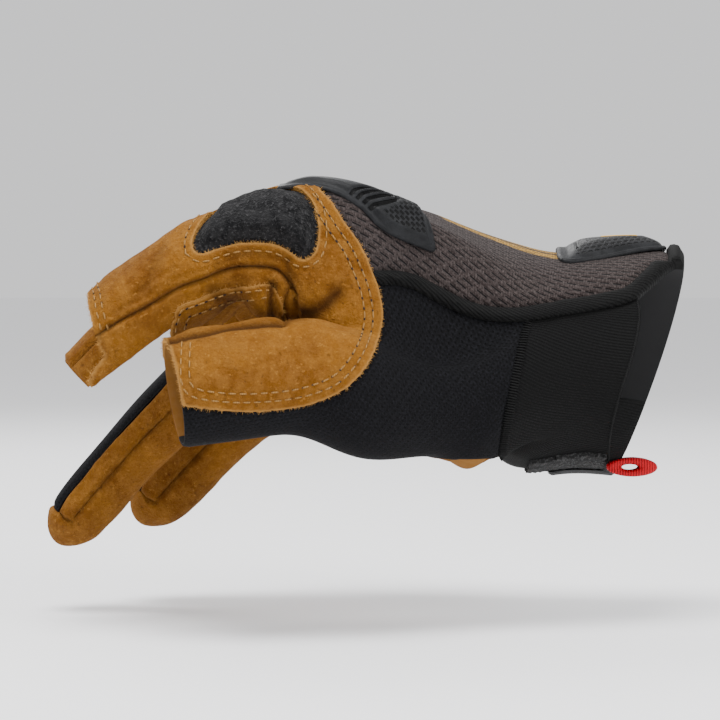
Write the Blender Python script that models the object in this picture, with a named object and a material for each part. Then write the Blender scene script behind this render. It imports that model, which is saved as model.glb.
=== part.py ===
"""Work glove for the right hand, with the thumb, index and middle stalls cut open.

Metres, +Z up.  The fingers point along -X, the cuff opens towards +X, the back of the hand
faces +Z and the thumb lies on the -Y side.  The origin is the middle of the wrist.
The tables below are in millimetres.
"""
import math

import bmesh
import bpy
import numpy as np
from mathutils import Vector

MM = 0.001
SEAM_GAP = 0.3
SUEDE_WALL = 1.8
KNIT_WALL = 1.6
ELASTIC_WALL = 2.0
INSET_REACH = -33
PALM_CUT = -118
INSET_WALL = 2.8
INSET_LIFT = 1.0
BINDING_WALL = 2.4
BINDING_LIFT = 0.8
INSET_MARGIN = 6
INNER_BEVEL = 0.9
INDEX_SIDE_REACH = -40
FITTING_ROUNDS = 8
FITTING_SHARE = 0.8
SNAP = 0.16
STEP = 0.05
SHARP_EDGE = 50

# Stations of the hand from the cuff to the finger webs: lean of the section (x per z), and how
# far its outline has gone from the round wrist (0) over the fork (1) to the flat knuckles (2).
STATIONS = {
    "mouth": (0.31, 0.0),
    "wrist": (0.27, 0.0),
    "heel": (0.20, 0.15),
    "palm": (0.0, 0.42),
    "fork": (0.0, 1.0),
    "knuckle": (0.0, 2.0),
    "web": (0.0, 2.0),
}
# Rays of the hand, one row for each station: x, y, z of the ray and its half thickness.
RAYS = {
    "index": ((13.5, -2, 0.5, 30.5), (-4, -3, 1, 30), (-24, -9, 3, 28.5), (-44, -17, 20, 19.5),
              (-68, -29, 30, 17), (-84, -33, 35.2, 14), (-98, -34.5, 32.6, 13)),
    "middle": ((13.5, -1, 0.5, 30.5), (-4, -1, 1, 30.5), (-24, -2, 2.2, 29.3), (-44, -4, 19.5, 21),
               (-69, -9, 29.2, 16.5), (-86, -11, 32.5, 14), (-102, -11.8, 28, 12.5)),
    "ring": ((13.5, 1, 0.5, 30.5), (-4, 1, 1, 30.5), (-24, 3, 2.2, 29.3), (-44, 10, 14.5, 22),
             (-67, 9.5, 24, 16.5), (-82, 11, 23, 13.5), (-97, 11.5, 10, 12)),
    "little": ((13.5, 2, 0.5, 30.5), (-4, 3, 1, 30), (-24, 9, 1.5, 28), (-43, 20, 4, 22),
               (-63, 27, 10, 16.5), (-74, 31, 8, 12.5), (-87, 32, -3, 11)),
    "thumb": ((13.5, -2, 0.5, 30.5), (-4, -4, 0.5, 29), (-24, -13, -2.5, 26.5), (-43, -23, -9, 19),
              (-66, -40, -7.2, 18.8)),
}
# Every section runs over the back from the thumb side, round the outer edge, back along the
# palm and up the thumb side: point, rays, angles at the wrist, at the fork, at the knuckles.
SECTION = (
    ("D0", ("index",), 150, 140, 146),
    ("D1", ("index",), 134, 100, 100),
    ("D2", ("index", "middle"), 119, 98, 98),
    ("D3", ("middle",), 104, 94, 94),
    ("D4", ("middle", "ring"), 90, 84, 84),
    ("D5", ("ring",), 76, 72, 72),
    ("D6", ("ring", "little"), 61, 66, 66),
    ("D7", ("little",), 46, 56, 56),
    ("D8", ("little",), 24, 22, 22),
    ("U", ("little",), 0, -16, -16),
    ("P8", ("little",), -24, -60, -60),
    ("P7", ("little",), -44, -96, -100),
    ("P6", ("ring", "little"), -58, -104, -108),
    ("P5", ("ring",), -72, -104, -108),
    ("P4", ("middle", "ring"), -86, -102, -106),
    ("P3", ("middle",), -99, -94, -98),
    ("P2", ("index", "middle"), -112, -88, -92),
    ("P1", ("index",), -124, -80, -92),
    ("P0", ("index",), -136, -78, -120),
    ("R1", ("thumb",), -147, 37, -145),
    ("R2", ("thumb",), -158, -42, None),
    ("R3", ("thumb",), -168, -98, None),
    ("R4", ("thumb",), -178, -146, None),
    ("R5", ("thumb",), -187, -188, None),
    ("R6", ("thumb",), -195, -222, None),
    ("R7", ("thumb",), -203, -250, 165),
)
OUTER_REACH = 0.22
CROTCH = (-86, -44, 15.5)
# Points round the root of the index finger that lie on no ray.
PLACED = {
    ("R7", "knuckle"): (-84, -47.2, 31),
    ("W", "knuckle"): (-87, -45.5, 20.5),
    ("R1", "knuckle"): (-89, -43, 14.5),
    ("P0", "knuckle"): (-86.5, -37.5, 12.5),
    ("W", "web"): (-98, -47, 27),
    ("R1", "web"): (-98.5, -44.5, 19.5),
    ("P0", "web"): (-99, -40, 17),
}
# Fingers beyond the web, one row for each section: x, y, z, half width and half height.
FINGERS = {
    "index": ((-108, -35.5, 28.3, 10.8, 12), (-118, -36.5, 22.2, 10.8, 11.8),
              (-128, -37.5, 15.2, 10.8, 11.8), (-138, -38.5, 7.6, 10.8, 11.8),
              (-149, -39.5, -1.4, 10.8, 11.8)),
    "middle": ((-111, -12.2, 22.5, 10.5, 11.4), (-120, -12.6, 16, 10.4, 11.2),
               (-129, -13, 8, 10.3, 11), (-138, -13.4, -1, 10.3, 11),
               (-144, -13.6, -7, 10.3, 11)),
    "ring": ((-105, 12, 2.5, 9.8, 10.2), (-114, 12.4, -6, 9.2, 9.6),
             (-124, 12.8, -16, 8.9, 9.2), (-135, 13.2, -27.5, 8.7, 8.8),
             (-144.5, 13.6, -38.5, 8.6, 8.6), (-151.5, 13.9, -47, 7.4, 7.6)),
    "little": ((-95, 33.2, -10, 9.6, 10), (-104, 34.2, -17.5, 9.2, 9.8),
               (-114, 35.2, -26.5, 8.9, 9.6), (-122, 36, -35, 8.8, 9.5),
               (-129, 36.6, -43, 7.6, 8.2)),
}
FINGER_TIP = {"ring": (-156.6, 14.2, -53.2), "little": (-134.4, 37.2, -49.2)}
# Thumb beyond the fork: x, y, z, half width and half height.
THUMB = ((-82, -47.5, -3.6, 13.5, 15.7), (-94, -51.5, -3.4, 12.8, 15.4),
         (-106, -54.5, -5, 12.4, 15.2), (-118, -57, -7, 12.2, 15))
THUMB_ANGLES = (-12, -60, -105, -150, 172, 135, 92, 40)


# Outlines on the thumb side, seen along +Y: x, z.
SADDLE = ((-79.5, 60), (-79.5, 48), (-76.5, 44.5), (-72.7, 38.7), (-69, 33.5), (-66.5, 28.5),
          (-64, 22), (-62.7, 15.5), (-62.9, 10), (-64.5, 5), (-68, -1), (-73, -6), (-80, -9),
          (-88, -10.6), (-98, -11.2), (-106, -10.8), (-116, -9.6), (-130, -9), (-130, -9),
          (-170, 0), (-170, 60))
INSET = ((-113.4, 31.5), (-113.3, 34.5), (-110.8, 38.3), (-106.3, 41.6), (-100, 44), (-93.7, 45.2),
         (-87, 45.4), (-83.4, 44), (-81, 40.8), (-80.2, 35), (-81.2, 30.6), (-84, 29.2),
         (-87.5, 31), (-92, 33), (-100.3, 33.2), (-106.3, 31.8), (-111.2, 30.2))
BINDING_TOP = ((-75, 26), (-66, 25.8), (-58, 25.7), (-52.3, 24.3), (-46, 21), (-39.2, 17.7),
               (-33, 16), (-24.7, 15.7), (-15, 17.2), (-5.3, 18.6), (4.5, 20.7), (9, 24),
               (14.9, 28.9), (20, 31.5), (32, 34))
BINDING_WIDTH = 4.0
CUFF_EDGE = ((-22, 14), (-24.4, 7), (-27.2, -7), (-29.3, -22), (-29, -29), (-28, -40))
CUFF_MOUTH = ((8, 22), (9, 14.6), (8.7, 10.4), (6.8, 2), (3.6, -8.5), (1.6, -19), (2, -27), (4, -31),
              (7, -40))
INDEX_HEM = ((-145, 24), (-142.3, 19), (-140, 9.5))
INDEX_RIM = ((-139.2, 9), (-138.6, 5.5), (-137, 2.5), (-139.6, -1), (-141, -5), (-139.8, -9.2),
             (-139, -14))
INDEX_SEAM = ((-146, 4.5), (-138.2, 9.2), (-133.1, 12.4), (-125.7, 16.2), (-120.3, 19.5), (-116.3, 21.6),
              (-110.9, 23.4), (-106, 25.4), (-99.8, 26.8), (-92.2, 26.5), (-89.4, 24.9),
              (-87.6, 22.2), (-85.7, 18.7), (-85.7, 16.5))
PATCH = ((-120, -20), (-120, 8), (-118.8, 13), (-117.6, 16), (-112, 18.3), (-104, 21.2), (-98, 21.6),
         (-93, 22), (-90, 18), (-88.5, 8), (-89, -20))


def direction(rows, i):
    """Unit direction along a chain of section centres."""
    a = Vector(rows[max(i - 1, 0)][:3])
    b = Vector(rows[min(i + 1, len(rows) - 1)][:3])
    return (b - a).normalized()


def ring_points(centre, along, half_width, half_height, angles):
    """Points of an oval section across a finger, 0 degrees outwards (+Y) and 90 up."""
    side = Vector((0, 1, 0))
    side = (side - side.dot(along) * along).normalized()
    up = side.cross(along)
    if up.z < 0:
        up = -up
    return [centre + side * half_width * math.cos(math.radians(a))
            + up * half_height * math.sin(math.radians(a)) for a in angles]


class Cage:
    """Quads of the glove's coarse form, with a region name for each face."""

    def __init__(self):
        self.points = []
        self.faces = []
        self.regions = []

    def add(self, point):
        self.points.append(Vector(point))
        return len(self.points) - 1

    def quad(self, a, b, c, d, region):
        self.faces.append((a, b, c, d))
        self.regions.append(region)

    def bridge(self, first, second, regions, closed=True):
        """Quads between two loops, one region name for each."""
        count = len(first)
        for i in range(count if closed else count - 1):
            j = (i + 1) % count
            self.quad(first[i], first[j], second[j], second[i], regions[i])


def section_point(name, station):
    """A point of a section, at an angle round the mean of its rays."""
    if (name, station) in PLACED:
        return Vector(PLACED[name, station])
    place = list(STATIONS).index(station)
    lean, change = STATIONS[station]
    rays, at_wrist, at_fork, at_knuckles = {row[0]: row[1:] for row in SECTION}[name]
    angle = at_knuckles if change > 1 else at_wrist + change * (at_fork - at_wrist)
    if change > 1 and rays == ("thumb",):
        rays = ("index",)
    rows = [RAYS[ray][place] for ray in rays]
    x, y, z, radius = [sum(values) / len(rows) for values in zip(*rows)]
    y += radius * math.cos(math.radians(angle))
    z += radius * math.sin(math.radians(angle))
    if station == "mouth":
        x += OUTER_REACH * max(y, 0)
    return Vector((x + lean * z, y, z))


def hand_cage():
    """Coarse quads of the whole glove."""
    cage = Cage()
    names = [row[0] for row in SECTION]
    loops = {}
    order = ("mouth", "wrist", "heel", "palm", "fork")
    for station in order:
        loops[station] = [cage.add(section_point(name, station)) for name in names]
    for a, b in zip(order[:-1], order[1:]):
        cage.bridge(loops[a], loops[b], [f"{b}:{name}" for name in names])
    # The thumb leaves at the fork, and the crotch point joins both loops.
    crotch = cage.add(CROTCH)
    fork = dict(zip(names, loops["fork"]))
    thumb = [fork[f"R{i}"] for i in range(1, 8)] + [crotch]
    for i, (x, y, z, half_width, half_height) in enumerate(THUMB):
        points = ring_points(Vector((x, y, z)), direction(THUMB, i), half_width, half_height,
                             THUMB_ANGLES)
        new = [cage.add(p) for p in points]
        cage.bridge(thumb, new, [f"thumb{i}:{n}" for n in range(8)])
        thumb = new
    # The hand goes on to the knuckles with the crotch between R1 and R7.
    rim = [row[0] for row in SECTION if row[4] is not None]
    rim.insert(rim.index("R7"), "W")
    last = [crotch if name == "W" else fork[name] for name in rim]
    for station in ("knuckle", "web"):
        new = []
        for name in rim:
            new.append(cage.add(section_point(name, station)))
        cage.bridge(last, new, [f"{station}:{name}" for name in rim])
        last = new
    web = dict(zip(rim, last))
    # One point between each two fingers.
    fingers = list(FINGERS)
    middles = {4: web["U"]}
    for k in (1, 2, 3):
        first = Vector(RAYS[fingers[k - 1]][6][:3])
        second = Vector(RAYS[fingers[k]][6][:3])
        middles[k] = cage.add((first + second) / 2 + Vector((-1.5, 0, -1)))
    for k, finger in enumerate(fingers):
        side = [(f"D{2 * k}", 135), (f"D{2 * k + 1}", 90), (f"D{2 * k + 2}", 45), (k + 1, 0),
                (f"P{2 * k + 2}", -45), (f"P{2 * k + 1}", -90), (f"P{2 * k}", -128)]
        side += [("R1", -152), ("W", 180), ("R7", 158)] if k == 0 else [(k, 180)]
        loop = [middles[name] if isinstance(name, int) else web[name] for name, _ in side]
        tags = ["Da", "Db", "Dc", "Mb", "Pc", "Pb", "Pa", "Ma", "Mw", "Mr"]
        rows = FINGERS[finger]
        for i, (x, y, z, half_width, half_height) in enumerate(rows):
            points = ring_points(Vector((x, y, z)), direction(rows, i), half_width, half_height,
                                 [angle for _, angle in side])
            new = [cage.add(p) for p in points]
            cage.bridge(loop, new, [f"{finger}{i}:{tag}" for tag in tags[:len(loop)]])
            loop = new
        if finger in FINGER_TIP:
            tip = cage.add(FINGER_TIP[finger])
            for i in range(0, 8, 2):
                cage.quad(tip, loop[i], loop[i + 1], loop[(i + 2) % 8], f"{finger}9:{tags[i]}")
    return cage


def limit_points(cage):
    """Cage points moved so that the subdivided surface passes through the wanted ones."""
    target = np.array([tuple(point) for point in cage.points])
    uses = {}
    for face in cage.faces:
        for a, b in zip(face, face[1:] + face[:1]):
            uses[min(a, b), max(a, b)] = uses.get((min(a, b), max(a, b)), 0) + 1
    near = [[] for _ in target]
    across = [[] for _ in target]
    rim = [[] for _ in target]
    for (a, b), count in uses.items():
        near[a].append(b)
        near[b].append(a)
        if count == 1:
            rim[a].append(b)
            rim[b].append(a)
    for face in cage.faces:
        for i in range(4):
            across[face[i]].append(face[(i + 2) % 4])
    points = target.copy()
    for _ in range(FITTING_ROUNDS):
        limit = np.empty_like(points)
        for i, point in enumerate(points):
            if rim[i]:
                limit[i] = (4 * point + points[rim[i]].sum(axis=0)) / 6
            else:
                n = len(near[i])
                limit[i] = (n * n * point + 4 * points[near[i]].sum(axis=0)
                            + points[across[i]].sum(axis=0)) / (n * (n + 5))
        points += FITTING_SHARE * (target - limit)
    return points


def smooth_form(cage, levels):
    """The glove's outer skin in millimetres, with each face's region."""
    names = sorted(set(cage.regions))
    mesh = bpy.data.meshes.new("form")
    mesh.from_pydata([tuple(point) for point in limit_points(cage)], [], cage.faces)
    for name in names:
        mesh.materials.append(None)
    for polygon, region in zip(mesh.polygons, cage.regions):
        polygon.material_index = names.index(region)
    form = bpy.data.objects.new("form", mesh)
    bpy.context.scene.collection.objects.link(form)
    subsurf = form.modifiers.new("Subdivision", "SUBSURF")
    subsurf.levels = levels
    subsurf.render_levels = levels
    smooth = bpy.data.meshes.new_from_object(
        form.evaluated_get(bpy.context.evaluated_depsgraph_get()))
    bpy.data.objects.remove(form)
    skin = bmesh.new()
    skin.from_mesh(smooth)
    return skin, [tuple(name.split(":")) for name in names]


def rounded(points, closed=True, steps=4):
    """Smooth curve through an outline's points."""
    points = np.array(points, float)
    count = len(points)
    curve = []
    for i in range(count if closed else count - 1):
        if closed:
            a, b, c, d = (points[(i + k) % count] for k in (-1, 0, 1, 2))
        else:
            a, b, c, d = (points[min(max(i + k, 0), count - 1)] for k in (-1, 0, 1, 2))
        for t in np.arange(steps) / steps:
            curve.append(b + 0.5 * t * (c - a + t * (2 * a - 5 * b + 4 * c - d
                                                     + t * (3 * (b - c) + d - a))))
    if not closed:
        curve.append(points[-1])
    return np.array(curve)


def inside(outline):
    """Function of a point of the plane: its distance to the outline, positive inside."""
    outline = np.array(outline, float)
    start = outline
    span = np.roll(outline, -1, axis=0) - outline
    length = np.maximum((span ** 2).sum(axis=1), 1e-12)

    def depth(a, b):
        way = np.array((a, b)) - start
        t = np.clip((way * span).sum(axis=1) / length, 0, 1)
        distance = np.sqrt(((way - t[:, None] * span) ** 2).sum(axis=1)).min()
        crosses = (start[:, 1] > b) != (start[:, 1] + span[:, 1] > b)
        flat = np.where(span[:, 1] == 0, 1e-12, span[:, 1])
        odd = (crosses & (a < start[:, 0] + (b - start[:, 1]) / flat * span[:, 0])).sum() % 2
        return distance if odd else -distance
    return depth


def cut(skin, depth, allowed):
    """Splits the skin's faces along depth 0, between points for which allowed is true."""
    values = {vert: depth(vert.co) for vert in skin.verts if allowed(vert.co)}
    on_line = set()
    for vert, value in values.items():
        reach = min(edge.calc_length() for edge in vert.link_edges)
        if abs(value) < SNAP * reach:
            slope = Vector([(depth(vert.co + Vector(way) * STEP) - value) / STEP
                            for way in ((1, 0, 0), (0, 1, 0), (0, 0, 1))])
            slope -= slope.dot(vert.normal) * vert.normal
            if slope.length_squared > 0.1:
                vert.co -= slope * value / slope.length_squared
                values[vert] = 0.0
                on_line.add(vert)
    for edge in list(skin.edges):
        a, b = edge.verts
        if a in values and b in values and values[a] * values[b] < 0:
            share = values[a] / (values[a] - values[b])
            _, new = bmesh.utils.edge_split(edge, a, share)
            values[new] = 0.0
            on_line.add(new)
    for face in list(skin.faces):
        corners = list(face.verts)
        crossings = [i for i, vert in enumerate(corners) if vert in on_line]
        if len(crossings) < 2:
            continue
        count = len(corners)
        best = None
        for k, i in enumerate(crossings):
            j = crossings[(k + 1) % len(crossings)]
            between = [corners[n % count] for n in range(i + 1, j if j > i else j + count)]
            if 0 < len(between) < count - 2 and (best is None or len(between) < best[0]):
                best = (len(between), corners[i], corners[j])
        if best:
            bmesh.utils.face_split(face, best[1], best[2])
    skin.normal_update()


class Piece:
    """Faces taken from the skin, with the skin's own normals at their corners."""

    def __init__(self, faces):
        verts = []
        place = {}
        for face in faces:
            for vert in face.verts:
                if vert not in place:
                    place[vert] = len(verts)
                    verts.append(vert)
        self.points = [vert.co.copy() for vert in verts]
        self.normals = [vert.normal.copy() for vert in verts]
        self.faces = [tuple(place[vert] for vert in face.verts) for face in faces]
        uses = {}
        for face in self.faces:
            for a, b in zip(face, face[1:] + face[:1]):
                uses.setdefault((min(a, b), max(a, b)), []).append((a, b))
        self.rim = [ways[0] for ways in uses.values() if len(ways) == 1]
        self.inward = self.rim_directions()
        for i, way in self.inward.items():
            self.points[i] += way * SEAM_GAP / 2

    def rim_directions(self):
        """Direction into the piece, along the surface, at each point of its rim."""
        along = {i: Vector() for edge in self.rim for i in edge}
        for a, b in self.rim:
            way = (self.points[b] - self.points[a]).normalized()
            along[a] += way
            along[b] += way
        return {i: self.normals[i].cross(way).normalized() for i, way in along.items()}

    def solid(self, name, lift, wall, material, height=None):
        """Closed wall: its outer face lies lift above the skin, its inner face wall below that.

        The inner edge is bevelled, so that neighbours stay apart where the skin bends sharply.
        """
        count = len(self.points)
        outer = []
        inner = []
        for i, (point, normal) in enumerate(zip(self.points, self.normals)):
            top = lift + (height(point) if height else 0.0)
            bevel = self.inward.get(i, Vector()) * INNER_BEVEL
            outer.append((point + normal * top) * MM)
            inner.append((point + normal * (lift - wall) + bevel) * MM)
        faces = list(self.faces)
        faces += [tuple(i + count for i in reversed(face)) for face in self.faces]
        faces += [(b, a, a + count, b + count) for a, b in self.rim]
        mesh = bpy.data.meshes.new(name)
        mesh.from_pydata([tuple(p) for p in outer + inner], [], faces)
        mesh.materials.append(material)
        mesh.shade_smooth()
        mesh.set_sharp_from_angle(angle=math.radians(SHARP_EDGE))
        part = bpy.data.objects.new(name, mesh)
        bpy.context.scene.collection.objects.link(part)
        return part


def finish(name, colour, roughness, metallic=0.0):
    """A plain finish."""
    material = bpy.data.materials.new(name)
    material.use_nodes = True
    shader = material.node_tree.nodes["Principled BSDF"]
    shader.inputs["Base Color"].default_value = (*colour, 1.0)
    shader.inputs["Roughness"].default_value = roughness
    shader.inputs["Metallic"].default_value = metallic
    return material


THUMB_SIDE = ("D0", "D1", "R2", "R3", "R4", "R5", "R6", "R7", "W")
FINGER_BACK = {"middle": ("D2", "D3"), "ring": ("D4", "D5"), "little": ("D6", "D7", "D8")}
GUSSETS = ("gusset_index_middle", "gusset_middle_ring", "gusset_ring_little")


def refine(skin, near):
    """Cuts the edges near a small outline in half, so that it keeps its form."""
    edges = [edge for edge in skin.edges if all(near(vert.co) for vert in edge.verts)]
    bmesh.ops.subdivide_edges(skin, edges=edges, cuts=1, use_grid_fill=True)
    skin.normal_update()


def areas_of():
    """Depth functions of the outlines on the thumb side."""
    top = rounded(BINDING_TOP, closed=False)
    slope = np.gradient(top, axis=0)
    slope /= np.linalg.norm(slope, axis=1)[:, None]
    bottom = top + BINDING_WIDTH * np.stack([slope[:, 1], -slope[:, 0]], axis=1)
    cuff = rounded(CUFF_EDGE, closed=False)
    mouth = rounded(CUFF_MOUTH, closed=False)
    rim = rounded(INDEX_RIM, closed=False)
    seam = rounded(INDEX_SEAM, closed=False)
    return {
        "saddle": inside(rounded(SADDLE)),
        "inset": inside(rounded(INSET)),
        "above": inside([*top, (60, 90), (-120, 90), (-120, 26)]),
        "below": inside([*bottom, (60, -90), (-120, -90), (-120, 21.4)]),
        "cuff": inside([*cuff, (-28, -90), (90, -90), (90, 90), (-21, 90)]),
        "mouth": inside([*mouth, (7, -90), (-90, -90), (-90, 90), (8, 90)]),
        "hem": inside([*INDEX_HEM, (-139, -90), (60, -90), (60, 90), (-145, 90)]),
        "rim": inside([*rim, (-139, -90), (60, -90), (60, 90), (-139, 90)]),
        "seam": inside([*seam, (-85.7, -60), (-170, -60), (-170, 4.5)]),
    }


# Where each outline is cut into the skin: name and the space that the cut is kept to.
CUTS = (
    ("saddle", lambda p: p.y < -15 and p.x < -45),
    ("inset", lambda p: p.y < INSET_REACH + 4 and p.x < -70),
    ("above", lambda p: p.y < -5 and p.x > -75 and p.z > 5),
    ("below", lambda p: p.y < -5 and p.x > -75 and p.z > 0),
    ("cuff", lambda p: p.x > -45),
    ("mouth", lambda p: p.x > -12 and p.y < -2 and p.z < 24),
    ("hem", lambda p: p.x < -120 and p.y < -24),
    ("rim", lambda p: p.x < -120 and p.y < -25),
    ("seam", lambda p: p.x < -82 and p.y < INDEX_SIDE_REACH),
)


def side_panel(depths, y, index_back):
    """Panel on the thumb side, by the outlines."""
    if y < INSET_REACH and depths["inset"] > 0:
        return "knuckle_inset"
    if index_back or depths["saddle"] > 0:
        return "saddle"
    if depths["above"] > 0:
        return "back_knit"
    if depths["below"] < 0:
        return "binding"
    if depths["cuff"] < 0:
        return "side_knit"
    return "cuff_elastic" if depths["mouth"] > 0 else None


def finger_panel(row, strip, centre, depths):
    """Panel of a finger, or None where the stall is cut away."""
    x, y, _ = centre
    finger = row[:-1]
    number = list(FINGERS).index(finger)
    if finger == "index":
        if strip in ("Mb", "Pc", "Pb"):
            return "palm" if x > PALM_CUT else None
        if strip == "Pa" or (strip in ("Ma", "Mw", "Mr") and depths["seam"] > 0):
            return "index_side" if depths["rim"] > 0 else None
        if depths["hem"] < 0:
            return None
        return GUSSETS[0] if strip == "Dc" else side_panel(depths, y, True)
    if row.endswith("9"):
        return finger + "_back" if strip == "Da" else "palm"
    if finger == "middle" and strip in ("Mb", "Pc", "Pb", "Pa") and x < PALM_CUT:
        return None
    if strip in ("Da", "Db") or (strip == "Dc" and finger == "little"):
        return finger + "_back"
    if strip in ("Ma", "Dc"):
        return GUSSETS[number - (strip == "Ma")]
    return "palm"


def panel_of(row, strip, centre, depths):
    """Name of the panel that a face belongs to, or None where nothing is."""
    if row[:-1] in FINGERS:
        return finger_panel(row, strip, centre, depths)
    if row.startswith("thumb"):
        if strip in ("7", "0"):
            return "palm"
        return "saddle" if depths["saddle"] > 0 else "side_knit"
    if row == "web" and strip in ("P0", "R1", "W", "R7") and depths["seam"] > 0:
        return "index_side"
    if strip in THUMB_SIDE or (strip, row) == ("R1", "web"):
        return side_panel(depths, centre[1], row == "web")
    if strip.startswith("D"):
        if row == "web":
            return next(finger for finger, strips in FINGER_BACK.items() if strip in strips) + "_back"
        return "back_knit"
    return "palm" if depths["cuff"] < 0 else "cuff_elastic"


def panels(skin, regions):
    """Cuts the skin along the outlines and sorts its faces by panel."""
    areas = areas_of()
    refine(skin, lambda p: (areas["inset"](p.x, p.z) > -INSET_MARGIN
                            and p.y < INSET_REACH + INSET_MARGIN and p.x < -70))
    for name, allowed in CUTS:
        cut(skin, lambda p, area=areas[name]: area(p.x, p.z), allowed)
    cut(skin, lambda p: p.x - PALM_CUT, lambda p: p.x < -105 and p.y < 0 and p.z < 35)
    found = {}
    depths = {vert: {name: area(vert.co.x, vert.co.z) for name, area in areas.items()}
              for vert in skin.verts}
    for face in skin.faces:
        row, strip = regions[face.material_index]
        mean = {name: sum(depths[vert][name] for vert in face.verts) for name in areas}
        name = panel_of(row, strip, face.calc_center_median(), mean)
        if name:
            found.setdefault(name, []).append(face)
    return found


# Outlines seen from above: x, y.
GUARD = ((-88, -48), (-89, -25), (-91, -10), (-90, 4), (-86, 16), (-80, 30), (-74, 40), (-62, 44),
         (-51, 42), (-51, 28), (-55, 12), (-57, -4), (-56, -16), (-51, -28), (-46, -36), (-44, -48))
GUARD_EDGE = ((-92, 47), (-85, 47.6), (-79.3, 46.5), (-74, 44), (-68, 39), (-64.5, 34.5), (-60, 31.6),
              (-53, 29.2), (-48, 28), (-44, 28))
GUARD_LOW = 9
GUARD_BASE = 1.2
GUARD_DOME = 1.2
WRIST_PAD = ((-12.5, -17), (-4, -15.5), (5, -12), (12, -8), (18, -3), (19, 6), (18, 13), (15, 18),
             (8, 20), (-3, 20), (-10, 16), (-12, 10), (-12.5, 0))
PAD_BASE = 1.0
PAD_DOME = 2.6
OVERLAY_GAP = 0.5
PATCH_WALL = 1.3
STRAP = ((-21, -17), (-21, 24), (0.6, 24), (0.6, -17))
STRAP_WALL = 1.0
TAB = ((-15, -5), (-15, 12), (4, 12), (4, -5))
TAB_WALL = 1.0
# Pull loop, seen along +Y: middle, half length and half height of its outer edge and its hole.
LOOP = (8.3, -31.0, 7.0, 2.1)
LOOP_HOLE = (7.6, -30.9, 2.5, 0.9)
LOOP_WIDTH = (-17, -9)
LOOP_SIDES = 20


def overlay(skin, regions, rows, strips, depth):
    """Faces of the skin inside an outline, within the rows and strips given."""
    cut(skin, depth, lambda p: True)
    chosen = []
    for face in skin.faces:
        row, strip = regions[face.material_index]
        if (rows is None or row in rows) and (strips is None or strip in strips):
            if sum(depth(vert.co) for vert in face.verts) > 0:
                chosen.append(face)
    return Piece(chosen)


def knuckle_guard(material):
    """Moulded rubber over the four knuckles, with a lobe down the thumb side."""
    skin, regions = smooth_form(hand_cage(), 2)
    plan = inside(rounded(GUARD))
    edge = inside([*rounded(GUARD_EDGE, closed=False), (-44, 90), (-92, 90)])

    def depth(p):
        lobe = edge(p.x, p.z) + 3 * max(0, p.y + 22)
        return min(plan(p.x, p.y), lobe, p.z - GUARD_LOW)

    def height(p):
        dome = 0
        for ray in ("index", "middle", "ring", "little"):
            x, y, _, _ = RAYS[ray][5]
            dome = max(dome, math.exp(-((p.x - x - 6) / 10) ** 2 - ((p.y - y) / 8) ** 2))
        return GUARD_DOME * dome * min(1, max(depth(p), 0) / 4)

    piece = overlay(skin, regions, ("palm", "fork", "knuckle", "web"),
                    ("D0", "D1", "D2", "D3", "D4", "D5", "D6", "D7", "D8", "R7"), depth)
    return piece.solid("knuckle_guard", OVERLAY_GAP + GUARD_BASE, GUARD_BASE, material, height)


def wrist_pad(material):
    """Moulded rubber dome on the back of the wrist."""
    skin, regions = smooth_form(hand_cage(), 2)
    plan = inside(rounded(WRIST_PAD))

    def height(p):
        return PAD_DOME * min(1, max(plan(p.x, p.y), 0) / 5) ** 0.6

    piece = overlay(skin, regions, ("wrist", "heel"), ("D1", "D2", "D3", "D4", "D5", "D6", "D7"),
                    lambda p: plan(p.x, p.y))
    return piece.solid("wrist_pad", OVERLAY_GAP + PAD_BASE, PAD_BASE, material, height)


def palm_patch(material):
    """Double-stitched suede patch round the root of the index finger."""
    skin, regions = smooth_form(hand_cage(), 2)
    plan = inside(rounded(PATCH))
    piece = overlay(skin, regions, ("web", "index0", "index1", "index2"),
                    ("P1", "P0", "R1", "Pb", "Pa", "Ma"),
                    lambda p: plan(p.x, p.z) if p.x < -60 else -1)
    return piece.solid("palm_patch", OVERLAY_GAP + PATCH_WALL, PATCH_WALL, material)


def strap_piece(name, outline, lift, wall, material):
    """Flat strip across the palm side of the wrist."""
    skin, regions = smooth_form(hand_cage(), 2)
    plan = inside(outline)
    piece = overlay(skin, regions, ("wrist", "heel"), ("U", "P8", "P7", "P6", "P5", "P4", "P3", "P2",
                                                       "P1", "P0", "R1"), lambda p: plan(p.x, p.y))
    return piece.solid(name, lift, wall, material)


def pull_loop(material):
    """Ribbon loop at the palm side of the cuff: an oval ring, as wide as the ribbon."""
    shell = bmesh.new()
    rings = []
    for (x, z, length, height), y in ((LOOP, LOOP_WIDTH[0]), (LOOP, LOOP_WIDTH[1]),
                                      (LOOP_HOLE, LOOP_WIDTH[1]), (LOOP_HOLE, LOOP_WIDTH[0])):
        turns = [math.tau * i / LOOP_SIDES for i in range(LOOP_SIDES)]
        rings.append([shell.verts.new(Vector((x + length * math.cos(t), y, z + height * math.sin(t))) * MM)
                      for t in turns])
    for k in range(4):
        first = rings[k]
        second = rings[(k + 1) % 4]
        for i in range(LOOP_SIDES):
            j = (i + 1) % LOOP_SIDES
            shell.faces.new((first[i], first[j], second[j], second[i]))
    bmesh.ops.recalc_face_normals(shell, faces=shell.faces)
    mesh = bpy.data.meshes.new("pull_loop")
    shell.to_mesh(mesh)
    mesh.materials.append(material)
    part = bpy.data.objects.new("pull_loop", mesh)
    bpy.context.scene.collection.objects.link(part)
    return part


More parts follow.
